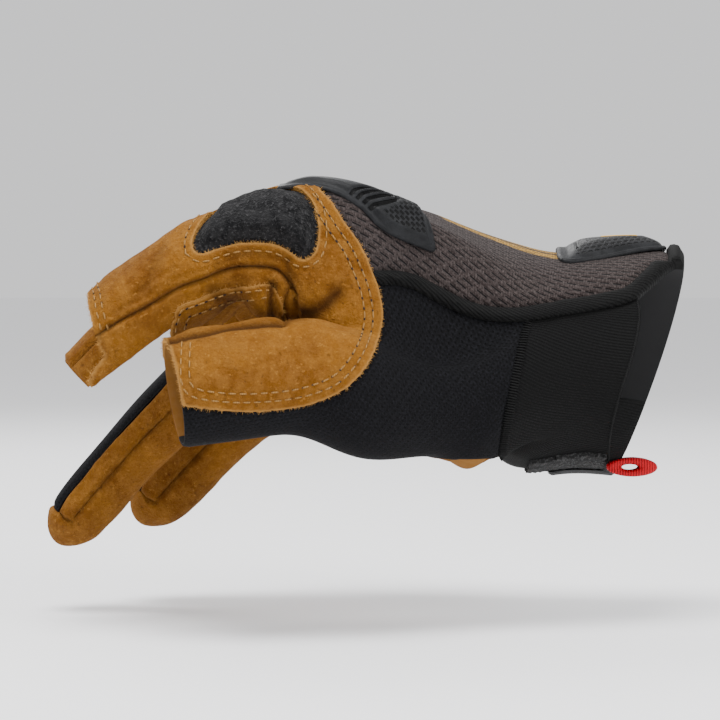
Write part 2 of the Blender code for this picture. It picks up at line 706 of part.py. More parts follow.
def main():
    for old in list(bpy.data.objects):
        bpy.data.objects.remove(old)
    suede = finish("suede", (0.45, 0.19, 0.05), 0.9)
    knit = finish("knit", (0.07, 0.055, 0.05), 0.9)
    mesh_knit = finish("mesh_knit", (0.012, 0.012, 0.016), 0.85)
    rubber = finish("rubber", (0.03, 0.032, 0.036), 0.55)
    elastic = finish("elastic", (0.01, 0.01, 0.011), 0.8)
    red = finish("red_ribbon", (0.5, 0.01, 0.015), 0.6)
    # Each panel's finish, height above the skin and wall.
    looks = {
        "palm": (suede, 0, SUEDE_WALL), "saddle": (suede, 0, SUEDE_WALL),
        "index_side": (suede, 0, SUEDE_WALL), "middle_back": (suede, 0, SUEDE_WALL),
        "gusset_index_middle": (suede, 0, SUEDE_WALL), "gusset_middle_ring": (suede, 0, SUEDE_WALL),
        "gusset_ring_little": (suede, 0, SUEDE_WALL), "ring_back": (mesh_knit, 0, KNIT_WALL),
        "little_back": (mesh_knit, 0, KNIT_WALL), "back_knit": (knit, 0, KNIT_WALL),
        "side_knit": (mesh_knit, 0, KNIT_WALL), "knuckle_inset": (mesh_knit, INSET_LIFT, INSET_WALL),
        "binding": (elastic, BINDING_LIFT, BINDING_WALL), "cuff_elastic": (elastic, 0, ELASTIC_WALL),
    }
    skin, regions = smooth_form(hand_cage(), 1)
    for name, faces in panels(skin, regions).items():
        material, lift, wall = looks[name]
        Piece(faces).solid(name, lift, wall, material)
    knuckle_guard(rubber)
    wrist_pad(rubber)
    palm_patch(suede)
    strap_piece("closure_strap", STRAP, OVERLAY_GAP + STRAP_WALL, STRAP_WALL, elastic)
    strap_piece("strap_tab", TAB, 2 * OVERLAY_GAP + STRAP_WALL + TAB_WALL, TAB_WALL, rubber)
    pull_loop(red)


main()
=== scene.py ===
"""Looks of the right-hand work glove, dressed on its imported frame.

Pieces are worked out in millimetres and put in the scene in metres.  The fingers point along -X,
the cuff opens towards +X, the back of the hand faces +Z and the thumb is on the -Y side.
"""
import math

import bmesh
import bpy
import numpy as np
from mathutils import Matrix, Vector, kdtree
from mathutils.bvhtree import BVHTree


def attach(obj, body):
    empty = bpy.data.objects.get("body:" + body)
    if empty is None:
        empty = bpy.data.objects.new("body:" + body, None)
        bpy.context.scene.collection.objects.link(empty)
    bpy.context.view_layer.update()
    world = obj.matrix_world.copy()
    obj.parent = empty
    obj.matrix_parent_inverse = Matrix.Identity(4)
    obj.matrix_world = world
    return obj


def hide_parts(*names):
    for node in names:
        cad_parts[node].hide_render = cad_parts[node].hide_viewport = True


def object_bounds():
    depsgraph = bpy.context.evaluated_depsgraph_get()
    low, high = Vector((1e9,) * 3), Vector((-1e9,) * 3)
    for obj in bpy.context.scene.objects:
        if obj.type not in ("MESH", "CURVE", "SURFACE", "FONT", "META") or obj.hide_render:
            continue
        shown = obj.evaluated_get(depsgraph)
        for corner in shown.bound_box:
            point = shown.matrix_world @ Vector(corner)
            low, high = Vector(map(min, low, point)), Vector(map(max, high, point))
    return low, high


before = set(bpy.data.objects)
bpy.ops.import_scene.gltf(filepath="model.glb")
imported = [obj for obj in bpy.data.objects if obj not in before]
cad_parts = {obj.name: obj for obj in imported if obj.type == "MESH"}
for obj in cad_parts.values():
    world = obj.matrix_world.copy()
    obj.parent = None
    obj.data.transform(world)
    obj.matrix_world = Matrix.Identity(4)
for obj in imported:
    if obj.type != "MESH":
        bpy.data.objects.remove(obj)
cad_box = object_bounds()

# Camera, floor and light.  The camera looks at the thumb's side, nearly level, from as far as
# a product photograph is taken.  The floor and the world are pale, and three soft lights make
# the leather's nap and the moulded rubber show.
VIEW_DISTANCE = 0.9
VIEW_WIDTH = 0.2052
VIEW_RISE = math.radians(2)
VIEW_CENTRE = Vector((-0.0684, 0, 0))
SENSOR = 36
FLOOR_DROP = 0.02
FLOOR_SIZE = 12
FLOOR_ROUGHNESS = 0.9
WORLD_STRENGTH = 1.0
PALE = (0.93, 0.93, 0.94, 1)
camera_data = bpy.data.cameras.new("camera")
camera_data.sensor_width = SENSOR
camera_data.lens = SENSOR * VIEW_DISTANCE / VIEW_WIDTH


def put(name, data):
    """New object in the scene."""
    thing = bpy.data.objects.new(name, data)
    bpy.context.scene.collection.objects.link(thing)
    return thing


camera = put("camera", camera_data)
camera.location = VIEW_CENTRE + VIEW_DISTANCE * Vector((0, -math.cos(VIEW_RISE), math.sin(VIEW_RISE)))
camera.rotation_euler = (math.pi / 2 - VIEW_RISE, 0, 0)
bpy.context.scene.camera = camera


def shader_of(name, colour, roughness):
    """New material, with its tree and its Principled shader."""
    material = bpy.data.materials.new(name)
    material.use_nodes = True
    shader = material.node_tree.nodes["Principled BSDF"]
    shader.inputs["Base Color"].default_value = (*colour[:3], 1)
    shader.inputs["Roughness"].default_value = roughness
    return material, material.node_tree, shader


floor_mesh = bpy.data.meshes.new("floor")
floor_level = cad_box[0][2] - FLOOR_DROP
floor_mesh.from_pydata([(x * FLOOR_SIZE / 2, y * FLOOR_SIZE / 2, floor_level)
                        for x, y in ((-1, -1), (1, -1), (1, 1), (-1, 1))], [], [(0, 1, 2, 3)])
floor_mesh.materials.append(shader_of("floor_paint", PALE, FLOOR_ROUGHNESS)[0])
floor = put("floor", floor_mesh)

world = bpy.data.worlds.new("studio")
world.use_nodes = True
world.node_tree.nodes["Background"].inputs["Color"].default_value = PALE
world.node_tree.nodes["Background"].inputs["Strength"].default_value = WORLD_STRENGTH
bpy.context.scene.world = world
# Each soft light: place, size, power.
SOFT_LIGHTS = (((-0.2, -0.3, 0.9), 0.5, 14.0),
               ((0.5, -0.6, 0.45), 0.4, 5.0),
               ((-0.3, 0.7, 0.6), 0.6, 5.0))
for number, (place, size, power) in enumerate(SOFT_LIGHTS):
    lamp_data = bpy.data.lights.new(f"softbox_{number}", "AREA")
    lamp_data.size = size
    lamp_data.energy = power
    lamp = put(f"softbox_{number}", lamp_data)
    lamp.location = place
    lamp.rotation_euler = (VIEW_CENTRE - Vector(place)).to_track_quat("-Z", "Y").to_euler()

# Form of the glove.  All of its cloth and leather lies on one smooth skin, the shape of the hand
# that it is cut for: rings of points round the wrist and the palm, then one tube for each finger.
MM = 0.001
SKIN_LEVEL = 4
FITTING_ROUNDS = 8
FITTING_SHARE = 0.8
# Stations from the cuff to the finger webs: lean of the section (x per z), and how far its
# outline has gone from the round wrist (0) over the fork (1) to the flat knuckles (2).
STATIONS = {
    "mouth": (0.31, 0.0),
    "wrist": (0.27, 0.0),
    "heel": (0.20, 0.15),
    "palm": (0.0, 0.42),
    "fork": (0.0, 1.0),
    "knuckle": (0.0, 2.0),
    "web": (0.0, 2.0),
}
# Rays of the hand, one row for each station: x, y, z of the ray and its half thickness.
RAYS = {
    "index": ((13.5, -2, 0.5, 30.5), (-4, -3, 1, 30), (-24, -9, 3, 28.5), (-44, -17, 20, 19.5),
              (-68, -29, 30, 17), (-84, -33, 35.2, 14), (-98, -34.5, 32.6, 13)),
    "middle": ((13.5, -1, 0.5, 30.5), (-4, -1, 1, 30.5), (-24, -2, 2.2, 29.3), (-44, -4, 19.5, 21),
               (-69, -9, 29.2, 16.5), (-86, -11, 32.5, 14), (-102, -11.8, 28, 12.5)),
    "ring": ((13.5, 1, 0.5, 30.5), (-4, 1, 1, 30.5), (-24, 3, 2.2, 29.3), (-44, 10, 14.5, 22),
             (-67, 9.5, 24, 16.5), (-82, 11, 23, 13.5), (-97, 11.5, 10, 12)),
    "little": ((13.5, 2, 0.5, 30.5), (-4, 3, 1, 30), (-24, 9, 1.5, 28), (-43, 20, 4, 22),
               (-63, 27, 10, 16.5), (-74, 31, 8, 12.5), (-87, 32, -3, 11)),
    "thumb": ((13.5, -2, 0.5, 30.5), (-4, -4, 0.5, 29), (-24, -13, -2.5, 26.5), (-43, -23, -9, 19),
              (-66, -40, -7.2, 18.8)),
}
# Every section runs over the back from the thumb side, round the outer edge, back along the
# palm and up the thumb side: point, rays, angles at the wrist, at the fork, at the knuckles.
SECTION = (
    ("D0", ("index",), 150, 140, 146),
    ("D1", ("index",), 134, 100, 100),
    ("D2", ("index", "middle"), 119, 98, 98),
    ("D3", ("middle",), 104, 94, 94),
    ("D4", ("middle", "ring"), 90, 84, 84),
    ("D5", ("ring",), 76, 72, 72),
    ("D6", ("ring", "little"), 61, 66, 66),
    ("D7", ("little",), 46, 56, 56),
    ("D8", ("little",), 24, 22, 22),
    ("U", ("little",), 0, -16, -16),
    ("P8", ("little",), -24, -60, -60),
    ("P7", ("little",), -44, -96, -100),
    ("P6", ("ring", "little"), -58, -104, -108),
    ("P5", ("ring",), -72, -104, -108),
    ("P4", ("middle", "ring"), -86, -102, -106),
    ("P3", ("middle",), -99, -94, -98),
    ("P2", ("index", "middle"), -112, -88, -92),
    ("P1", ("index",), -124, -80, -92),
    ("P0", ("index",), -136, -78, -120),
    ("R1", ("thumb",), -147, 37, -145),
    ("R2", ("thumb",), -158, -42, None),
    ("R3", ("thumb",), -168, -98, None),
    ("R4", ("thumb",), -178, -146, None),
    ("R5", ("thumb",), -187, -188, None),
    ("R6", ("thumb",), -195, -222, None),
    ("R7", ("thumb",), -203, -250, 165),
)
OUTER_REACH = 0.22
CROTCH = (-86, -44, 15.5)
# Points round the root of the index finger that lie on no ray.
PLACED = {
    ("R7", "knuckle"): (-84, -47.2, 31),
    ("W", "knuckle"): (-87, -45.5, 20.5),
    ("R1", "knuckle"): (-89, -43, 14.5),
    ("P0", "knuckle"): (-86.5, -37.5, 12.5),
    ("W", "web"): (-98, -47, 27),
    ("R1", "web"): (-98.5, -44.5, 19.5),
    ("P0", "web"): (-99, -40, 17),
}
# Fingers beyond the web, one row for each section: x, y, z, half width and half height.
FINGERS = {
    "index": ((-108, -35.5, 28.3, 10.8, 12), (-118, -36.5, 22.2, 10.8, 11.8),
              (-128, -37.5, 15.2, 10.8, 11.8), (-138, -38.5, 7.6, 10.8, 11.8),
              (-149, -39.5, -1.4, 10.8, 11.8)),
    "middle": ((-111, -12.2, 22.5, 10.5, 11.4), (-120, -12.6, 16, 10.4, 11.2),
               (-129, -13, 8, 10.3, 11), (-138, -13.4, -1, 10.3, 11),
               (-144, -13.6, -7, 10.3, 11)),
    "ring": ((-105, 12, 2.5, 9.8, 10.2), (-114, 12.4, -6, 9.2, 9.6),
             (-124, 12.8, -16, 8.9, 9.2), (-135, 13.2, -27.5, 8.7, 8.8),
             (-144.5, 13.6, -38.5, 8.6, 8.6), (-151.5, 13.9, -47, 7.4, 7.6)),
    "little": ((-95, 33.2, -10, 9.6, 10), (-104, 34.2, -17.5, 9.2, 9.8),
               (-114, 35.2, -26.5, 8.9, 9.6), (-122, 36, -35, 8.8, 9.5),
               (-129, 36.6, -43, 7.6, 8.2)),
}
FINGER_TIP = {"ring": (-156.6, 14.2, -53.2), "little": (-134.4, 37.2, -49.2)}
# Thumb beyond the fork: x, y, z, half width and half height.
THUMB = ((-82, -47.5, -3.6, 13.5, 15.7), (-94, -51.5, -3.4, 12.8, 15.4),
         (-106, -54.5, -5, 12.4, 15.2), (-118, -57, -7, 12.2, 15))
THUMB_ANGLES = (-12, -60, -105, -150, 172, 135, 92, 40)


def direction(rows, i):
    """Unit direction along a chain of section centres."""
    a = Vector(rows[max(i - 1, 0)][:3])
    b = Vector(rows[min(i + 1, len(rows) - 1)][:3])
    return (b - a).normalized()


def ring_points(centre, along, half_width, half_height, angles):
    """Points of an oval section across a finger, 0 degrees outwards (+Y) and 90 up."""
    side = Vector((0, 1, 0))
    side = (side - side.dot(along) * along).normalized()
    up = side.cross(along)
    if up.z < 0:
        up = -up
    return [centre + side * half_width * math.cos(math.radians(a))
            + up * half_height * math.sin(math.radians(a)) for a in angles]


def section_point(name, station):
    """A point of a section, at an angle round the mean of its rays."""
    if (name, station) in PLACED:
        return Vector(PLACED[name, station])
    place = list(STATIONS).index(station)
    lean, change = STATIONS[station]
    rays, at_wrist, at_fork, at_knuckles = {row[0]: row[1:] for row in SECTION}[name]
    angle = at_knuckles if change > 1 else at_wrist + change * (at_fork - at_wrist)
    if change > 1 and rays == ("thumb",):
        rays = ("index",)
    rows = [RAYS[ray][place] for ray in rays]
    x, y, z, radius = [sum(values) / len(rows) for values in zip(*rows)]
    y += radius * math.cos(math.radians(angle))
    z += radius * math.sin(math.radians(angle))
    if station == "mouth":
        x += OUTER_REACH * max(y, 0)
    return Vector((x + lean * z, y, z))


class Cage:
    """Quads of the coarse form, each with a region name and its corners' places on the cloth."""

    def __init__(self):
        self.points = []
        self.faces = []
        self.regions = []
        self.weave = []

    def add(self, point):
        self.points.append(Vector(point))
        return len(self.points) - 1

    def quad(self, corners, region, weave):
        self.faces.append(tuple(corners))
        self.regions.append(region)
        self.weave.append(weave)

    def girth(self, loop, start, turn, value=0.0):
        """Length round a loop at both ends of each of its sides, counted from the start point."""
        count = len(loop)
        at = [0.0]
        for k in range(count):
            span = self.points[loop[(turn + k + 1) % count]] - self.points[loop[(turn + k) % count]]
            at.append(at[-1] + span.length)
        shift = value - at[(start - turn) % count]
        places = [(i - turn) % count for i in range(count)]
        return [(at[place] + shift, at[place + 1] + shift) for place in places]

    def bridge(self, first, second, regions, lengths, girths):
        """Quads between two loops, at two lengths along the hand."""
        count = len(first)
        for i in range(count):
            j = (i + 1) % count
            (a, b), (c, d) = girths[0][i], girths[1][i]
            self.quad((first[i], first[j], second[j], second[i]), regions[i],
                      ((lengths[0], a), (lengths[0], b), (lengths[1], d), (lengths[1], c)))


def hand_cage():
    """Coarse quads of the whole glove."""
    cage = Cage()
    names = [row[0] for row in SECTION]
    stations = list(STATIONS)
    length_of = {station: -RAYS["middle"][i][0] for i, station in enumerate(stations)}
    loops = {}
    order = ("mouth", "wrist", "heel", "palm", "fork")
    girths = {}
    for station in order:
        loops[station] = [cage.add(section_point(name, station)) for name in names]
        girths[station] = cage.girth(loops[station], names.index("D4"), names.index("P3"))
    for a, b in zip(order[:-1], order[1:]):
        cage.bridge(loops[a], loops[b], [f"{b}:{name}" for name in names],
                    (length_of[a], length_of[b]), (girths[a], girths[b]))
    # The thumb leaves at the fork, and the crotch point joins both loops.
    crotch = cage.add(CROTCH)
    fork = dict(zip(names, loops["fork"]))
    thumb = [fork[f"R{i}"] for i in range(1, 8)] + [crotch]
    length = length_of["fork"]
    start = girths["fork"][names.index("R7")][0]
    girth = cage.girth(thumb, 6, 7, start)
    for i, (x, y, z, half_width, half_height) in enumerate(THUMB):
        points = ring_points(Vector((x, y, z)), direction(THUMB, i), half_width, half_height,
                             THUMB_ANGLES)
        new = [cage.add(p) for p in points]
        following = cage.girth(new, 6, 7, start)
        cage.bridge(thumb, new, [f"thumb{i}:{n}" for n in range(8)], (length, -x), (girth, following))
        thumb = new
        girth = following
        length = -x
    # The hand goes on to the knuckles with the crotch between R1 and R7.
    rim = [row[0] for row in SECTION if row[4] is not None]
    rim.insert(rim.index("R7"), "W")
    last = [crotch if name == "W" else fork[name] for name in rim]
    length = length_of["fork"]
    girth = cage.girth(last, rim.index("D4"), rim.index("P3"))
    for station in ("knuckle", "web"):
        new = []
        for name in rim:
            new.append(cage.add(section_point(name, station)))
        following = cage.girth(new, rim.index("D4"), rim.index("P3"))
        cage.bridge(last, new, [f"{station}:{name}" for name in rim], (length, length_of[station]),
                    (girth, following))
        last = new
        girth = following
        length = length_of[station]
    web = dict(zip(rim, last))
    web_girth = dict(zip(rim, girth))
    # One point between each two fingers.
    fingers = list(FINGERS)
    middles = {4: web["U"]}
    for k in (1, 2, 3):
        first = Vector(RAYS[fingers[k - 1]][6][:3])
        second = Vector(RAYS[fingers[k]][6][:3])
        middles[k] = cage.add((first + second) / 2 + Vector((-1.5, 0, -1)))
    for k, finger in enumerate(fingers):
        side = [(f"D{2 * k}", 135), (f"D{2 * k + 1}", 90), (f"D{2 * k + 2}", 45), (k + 1, 0),
                (f"P{2 * k + 2}", -45), (f"P{2 * k + 1}", -90), (f"P{2 * k}", -128)]
        side += [("R1", -152), ("W", 180), ("R7", 158)] if k == 0 else [(k, 180)]
        loop = [middles[name] if isinstance(name, int) else web[name] for name, _ in side]
        tags = ["Da", "Db", "Dc", "Mb", "Pc", "Pb", "Pa", "Ma", "Mw", "Mr"][:len(loop)]
        start = web_girth[f"D{2 * k + 1}"][0]
        girth = cage.girth(loop, 1, 5, start)
        rows = FINGERS[finger]
        length = length_of["web"]
        centre = Vector(RAYS[finger][6][:3])
        for i, (x, y, z, half_width, half_height) in enumerate(rows):
            points = ring_points(Vector((x, y, z)), direction(rows, i), half_width, half_height,
                                 [angle for _, angle in side])
            new = [cage.add(p) for p in points]
            further = length + (Vector((x, y, z)) - centre).length
            following = cage.girth(new, 1, 5, start)
            cage.bridge(loop, new, [f"{finger}{i}:{tag}" for tag in tags], (length, further),
                        (girth, following))
            loop = new
            girth = following
            length = further
            centre = Vector((x, y, z))
        if finger in FINGER_TIP:
            tip = cage.add(FINGER_TIP[finger])
            end = length + (Vector(FINGER_TIP[finger]) - centre).length
            for i in range(0, 8, 2):
                (a, b), (_, c) = girth[i], girth[i + 1]
                cage.quad((tip, loop[i], loop[i + 1], loop[(i + 2) % 8]), f"{finger}9:{tags[i]}",
                          ((end, b), (length, a), (length, b), (length, c)))
    return cage


def limit_points(cage):
    """Cage points moved so that the subdivided surface passes through the wanted ones."""
    target = np.array([tuple(point) for point in cage.points])
    uses = {}
    for face in cage.faces:
        for a, b in zip(face, face[1:] + face[:1]):
            uses[min(a, b), max(a, b)] = uses.get((min(a, b), max(a, b)), 0) + 1
    near = [[] for _ in target]
    across = [[] for _ in target]
    rim = [[] for _ in target]
    for (a, b), count in uses.items():
        near[a].append(b)
        near[b].append(a)
        if count == 1:
            rim[a].append(b)
            rim[b].append(a)
    for face in cage.faces:
        for i in range(4):
            across[face[i]].append(face[(i + 2) % 4])
    points = target.copy()
    for _ in range(FITTING_ROUNDS):
        limit = np.empty_like(points)
        for i, point in enumerate(points):
            if rim[i]:
                limit[i] = (4 * point + points[rim[i]].sum(axis=0)) / 6
            else:
                n = len(near[i])
                limit[i] = (n * n * point + 4 * points[near[i]].sum(axis=0)
                            + points[across[i]].sum(axis=0)) / (n * (n + 5))
        points += FITTING_SHARE * (target - limit)
    return points


def finished(piece):
    """Mesh of an object with its modifiers worked in; the object itself goes."""
    mesh = bpy.data.meshes.new_from_object(piece.evaluated_get(bpy.context.evaluated_depsgraph_get()))
    bpy.data.objects.remove(piece)
    return mesh


def subdivided(mesh, levels):
    """Smoothly subdivided copy of a mesh."""
    form = put(mesh.name, mesh)
    subsurf = form.modifiers.new("Subdivision", "SUBSURF")
    subsurf.levels = levels
    subsurf.render_levels = levels
    return finished(form)


def smooth_skin(levels):
    """The glove's outer skin in millimetres, and each material index's row and strip."""
    cage = hand_cage()
    names = sorted(set(cage.regions))
    mesh = bpy.data.meshes.new("form")
    mesh.from_pydata([tuple(point) for point in limit_points(cage)], [], cage.faces)
    weave = mesh.uv_layers.new(name="weave")
    weave.data.foreach_set("uv", [value for corners in cage.weave for u, v in corners
                                  for value in (u * MM, v * MM)])
    for name in names:
        mesh.materials.append(None)
    mesh.polygons.foreach_set("material_index", [names.index(region) for region in cage.regions])
    smooth = subdivided(mesh, levels)
    skin = bmesh.new()
    skin.from_mesh(smooth)
    bpy.data.meshes.remove(smooth)
    return skin, [tuple(name.split(":")) for name in names]


skin, regions = smooth_skin(SKIN_LEVEL)

# Pattern.  The leather, the knits and the elastic are cut out along these outlines, most of
# them on the thumb's side, seen along +Y: x, z.  Cut leather has a slightly ragged edge.
SNAP = 0.16
RAGGED = 0.22
RAGGED_WAVES = ((2.6, 1.9), (-1.7, 4.1), (5.2, -3.3))
FRAYED = 0.5
SADDLE = ((-79.5, 60), (-79.5, 48), (-76.5, 44.5), (-72.7, 38.7), (-69, 33.5), (-66.5, 28.5),
          (-64, 22), (-62.7, 15.5), (-62.9, 10), (-64.5, 5), (-68, -1), (-73, -6), (-80, -9),
          (-88, -10.6), (-98, -11.2), (-106, -10.8), (-116, -9.6), (-130, -9), (-130, -9),
          (-170, 0), (-170, 60))
INSET = ((-113.4, 31.5), (-113.3, 34.8), (-110.8, 39.2), (-106.3, 43), (-100, 46), (-93.7, 47.6),
         (-87, 48), (-83, 46.2), (-80.4, 42), (-79.6, 35.5), (-80.8, 30.4), (-84, 28.8),
         (-87.5, 31), (-92, 33), (-100.3, 33.2), (-106.3, 31.8), (-111.2, 30.2))
INSET_REACH = -33
BINDING_TOP = ((-75, 26), (-66, 25.8), (-58, 25.7), (-52.3, 24.3), (-46, 21), (-39.2, 17.7),
               (-33, 16), (-24.7, 15.7), (-15, 17.2), (-5.3, 18.6), (4.5, 20.7), (9, 24),
               (14.9, 28.9), (20, 31.5), (32, 34))
BINDING_WIDTH = 4.0
END_TAPE = 4.4
CUFF_EDGE = ((-22, 14), (-24.4, 7), (-27.2, -7), (-29.3, -22), (-29, -29), (-28, -40))
CUFF_MOUTH = ((8, 22), (9, 14.6), (8.7, 10.4), (6.8, 2), (3.6, -8.5), (1.6, -19), (2, -27), (4, -31),
              (7, -40))
INDEX_HEM = ((-145, 24), (-142.3, 19), (-140, 9.5))
INDEX_RIM = ((-139.2, 9), (-138.6, 5.5), (-137, 2.5), (-139.6, -1), (-141, -5), (-139.8, -9.2),
             (-139, -14))
INDEX_SEAM = ((-146, 4.5), (-138.2, 9.2), (-133.1, 12.4), (-125.7, 16.2), (-120.3, 19.5), (-116.3, 21.6),
              (-110.9, 23.4), (-106, 25.4), (-99.8, 26.8), (-92.2, 26.5), (-89.4, 24.9),
              (-87.6, 22.2), (-85.7, 18.7), (-85.7, 16.5))
INDEX_SIDE_REACH = -40
PALM_CUT = -118
# The knit's lower edge along the heel of the hand: x, z, and how far it goes inwards: x, y.
PALM_EDGE = ((-95, -30), (-62, -26.3), (-55, -26.5), (-42, -27), (-34, -26.8), (-20, -26.6))
PALM_EDGE_REACH = ((-95, -34), (-56, -31), (-50, -26), (-44, -20), (-34, -10), (-20, -2))


def rounded(points, closed=True, steps=6):
    """Smooth curve through an outline's points."""
    points = np.array(points, float)
    count = len(points)
    curve = []
    for i in range(count if closed else count - 1):
        if closed:
            a, b, c, d = (points[(i + k) % count] for k in (-1, 0, 1, 2))
        else:
            a, b, c, d = (points[min(max(i + k, 0), count - 1)] for k in (-1, 0, 1, 2))
        for t in np.arange(steps) / steps:
            curve.append(b + 0.5 * t * (c - a + t * (2 * a - 5 * b + 4 * c - d
                                                     + t * (3 * (b - c) + d - a))))
    if not closed:
        curve.append(points[-1])
    return np.array(curve)


def to_line(points, line, closed=False):
    """Distance of each point of the plane to a line of straight runs."""
    line = np.array(line, float)
    ends = np.roll(line, -1, axis=0) if closed else line[1:]
    best = np.full(len(points), np.inf)
    for a, b in zip(line, ends):
        span = b - a
        t = np.clip((points - a) @ span / max(span @ span, 1e-12), 0, 1)
        best = np.minimum(best, np.linalg.norm(points - a - t[:, None] * span, axis=1))
    return best


def inside(outline, ragged=0.0):
    """Function of points of the plane: their distance to the outline, positive inside."""
    outline = np.array(outline, float)

    def depth(points):
        distance = to_line(points, outline, closed=True)
        odd = np.zeros(len(points), bool)
        for a, b in zip(outline, np.roll(outline, -1, axis=0)):
            if a[1] != b[1]:
                crosses = (a[1] > points[:, 1]) != (b[1] > points[:, 1])
                share = (points[:, 1] - a[1]) / (b[1] - a[1])
                odd ^= crosses & (points[:, 0] < a[0] + share * (b[0] - a[0]))
        signed = np.where(odd, distance, -distance)
        if ragged:
            waves = [np.sin(points @ way) for way in RAGGED_WAVES]
            signed += ragged * sum(waves) / len(waves)
        return signed
    return depth


def seen(depth, *axes):
    """The same function for points of space, seen along the axis that is left out."""
    return lambda points: depth(points[:, list(axes)])


def cut(skin, depth, allowed):
    """Splits the skin's faces along depth 0, between points for which allowed is true.

    Points and faces are kept in the order they are met, so each run cuts the same.
    """
    verts = list(skin.verts)
    points = np.array([tuple(vert.co) for vert in verts])
    here = np.nonzero(allowed(points))[0]
    if not len(here):
        return
    values = dict(zip((verts[i] for i in here), depth(points[here])))
    on_line = {}
    close = [vert for vert, value in values.items() if abs(value) < 1]
    for vert in close:
        reach = min(edge.calc_length() for edge in vert.link_edges)
        if abs(values[vert]) < SNAP * reach:
            base = np.array([tuple(vert.co)])
            step = 0.05
            slope = Vector([float(depth(base + way)[0] - values[vert]) / step
                            for way in np.eye(3) * step])
            slope -= slope.dot(vert.normal) * vert.normal
            if slope.length_squared > 0.1:
                vert.co -= slope * float(values[vert]) / slope.length_squared
                values[vert] = 0.0
                on_line[vert] = None
    crossing = [edge for edge in skin.edges
                if edge.verts[0] in values and edge.verts[1] in values
                and values[edge.verts[0]] * values[edge.verts[1]] < 0]
    for edge in crossing:
        a, b = edge.verts
        _, new = bmesh.utils.edge_split(edge, a, float(values[a] / (values[a] - values[b])))
        on_line[new] = None
    for face in {face: None for vert in on_line for face in vert.link_faces}:
        corners = list(face.verts)
        hits = [i for i, vert in enumerate(corners) if vert in on_line]
        if len(hits) < 2:
            continue
        count = len(corners)
        best = None
        for k, i in enumerate(hits):
            j = hits[(k + 1) % len(hits)]
            between = (j - i) % count - 1
            if 0 < between < count - 2 and (best is None or between < best[0]):
                best = (between, corners[i], corners[j])
        if best:
            bmesh.utils.face_split(face, best[1], best[2])
    skin.normal_update()


binding_top = rounded(BINDING_TOP, closed=False)
slope = np.gradient(binding_top, axis=0)
slope /= np.linalg.norm(slope, axis=1)[:, None]
binding_bottom = binding_top + BINDING_WIDTH * np.stack([slope[:, 1], -slope[:, 0]], axis=1)
outlines = {
    "saddle": inside(rounded(SADDLE), RAGGED),
    "inset": inside(rounded(INSET), RAGGED / 2),
    "above": inside([*binding_top, (60, 90), (-120, 90), (-120, 26)]),
    "below": inside([*binding_bottom, (60, -90), (-120, -90), (-120, 21.4)]),
    "cuff": inside([*rounded(CUFF_EDGE, closed=False), (-28, -90), (90, -90), (90, 90), (-21, 90)]),
    "mouth": inside([*rounded(CUFF_MOUTH, closed=False), (7, -90), (-90, -90), (-90, 90), (8, 90)]),
    "hem": inside([*INDEX_HEM, (-139, -90), (60, -90), (60, 90), (-145, 90)], RAGGED),
    "rim": inside([*rounded(INDEX_RIM, closed=False), (-139, -90), (60, -90), (60, 90), (-139, 90)],
                  FRAYED),
    "seam": inside([*rounded(INDEX_SEAM, closed=False), (-85.7, -60), (-170, -60), (-170, 4.5)]),
}


def palm_edge(points):
    """Positive where the side knit goes below its usual strips, outside the heel."""
    above = points[:, 2] - np.interp(points[:, 0], *np.transpose(PALM_EDGE))
    outside = np.interp(points[:, 0], *np.transpose(PALM_EDGE_REACH)) - points[:, 1]
    return np.minimum(above, outside)


def cuff_end(points):
    """Distance from the tape that is folded over the end of the cuff, on the back."""
    end = RAYS["index"][0][0] + STATIONS["mouth"][0] * points[:, 2]
    end += OUTER_REACH * np.maximum(points[:, 1], 0)
    return end - points[:, 0] - END_TAPE


# Each outline is kept to a part of the glove.
cut(skin, cuff_end, lambda p: (p[:, 0] > 5) & (p[:, 2] > 12))
cut(skin, palm_edge, lambda p: (p[:, 0] > -58) & (p[:, 0] < -18) & (p[:, 1] < 2) & (p[:, 2] < -8))
cut(skin, seen(outlines["saddle"], 0, 2), lambda p: (p[:, 1] < -15) & (p[:, 0] < -45))
cut(skin, seen(outlines["inset"], 0, 2), lambda p: (p[:, 1] < INSET_REACH + 4) & (p[:, 0] < -70))
cut(skin, seen(outlines["above"], 0, 2), lambda p: (p[:, 1] < -5) & (p[:, 0] > -75) & (p[:, 2] > 5))
cut(skin, seen(outlines["below"], 0, 2), lambda p: (p[:, 1] < -5) & (p[:, 0] > -75) & (p[:, 2] > 0))
cut(skin, seen(outlines["cuff"], 0, 2), lambda p: p[:, 0] > -45)
cut(skin, seen(outlines["mouth"], 0, 2), lambda p: (p[:, 0] > -12) & (p[:, 1] < -2) & (p[:, 2] < 24))
cut(skin, seen(outlines["hem"], 0, 2), lambda p: (p[:, 0] < -120) & (p[:, 1] < -24))
cut(skin, seen(outlines["rim"], 0, 2), lambda p: (p[:, 0] < -120) & (p[:, 1] < -25))
cut(skin, seen(outlines["seam"], 0, 2), lambda p: (p[:, 0] < -82) & (p[:, 1] < INDEX_SIDE_REACH))
cut(skin, lambda p: p[:, 0] - PALM_CUT + RAGGED * np.sin(p[:, 1] * 1.7),
    lambda p: (p[:, 0] < -105) & (p[:, 1] < 0) & (p[:, 2] < 35))

PALM_EDGE_STRIPS = ("P4", "P3", "P2", "P1", "P0", "R1")
THUMB_SIDE = ("D0", "D1", "R2", "R3", "R4", "R5", "R6", "R7", "W")
FINGER_BACK = {"middle": ("D2", "D3"), "ring": ("D4", "D5"), "little": ("D6", "D7", "D8")}
GUSSETS = ("gusset_index_middle", "gusset_middle_ring", "gusset_ring_little")


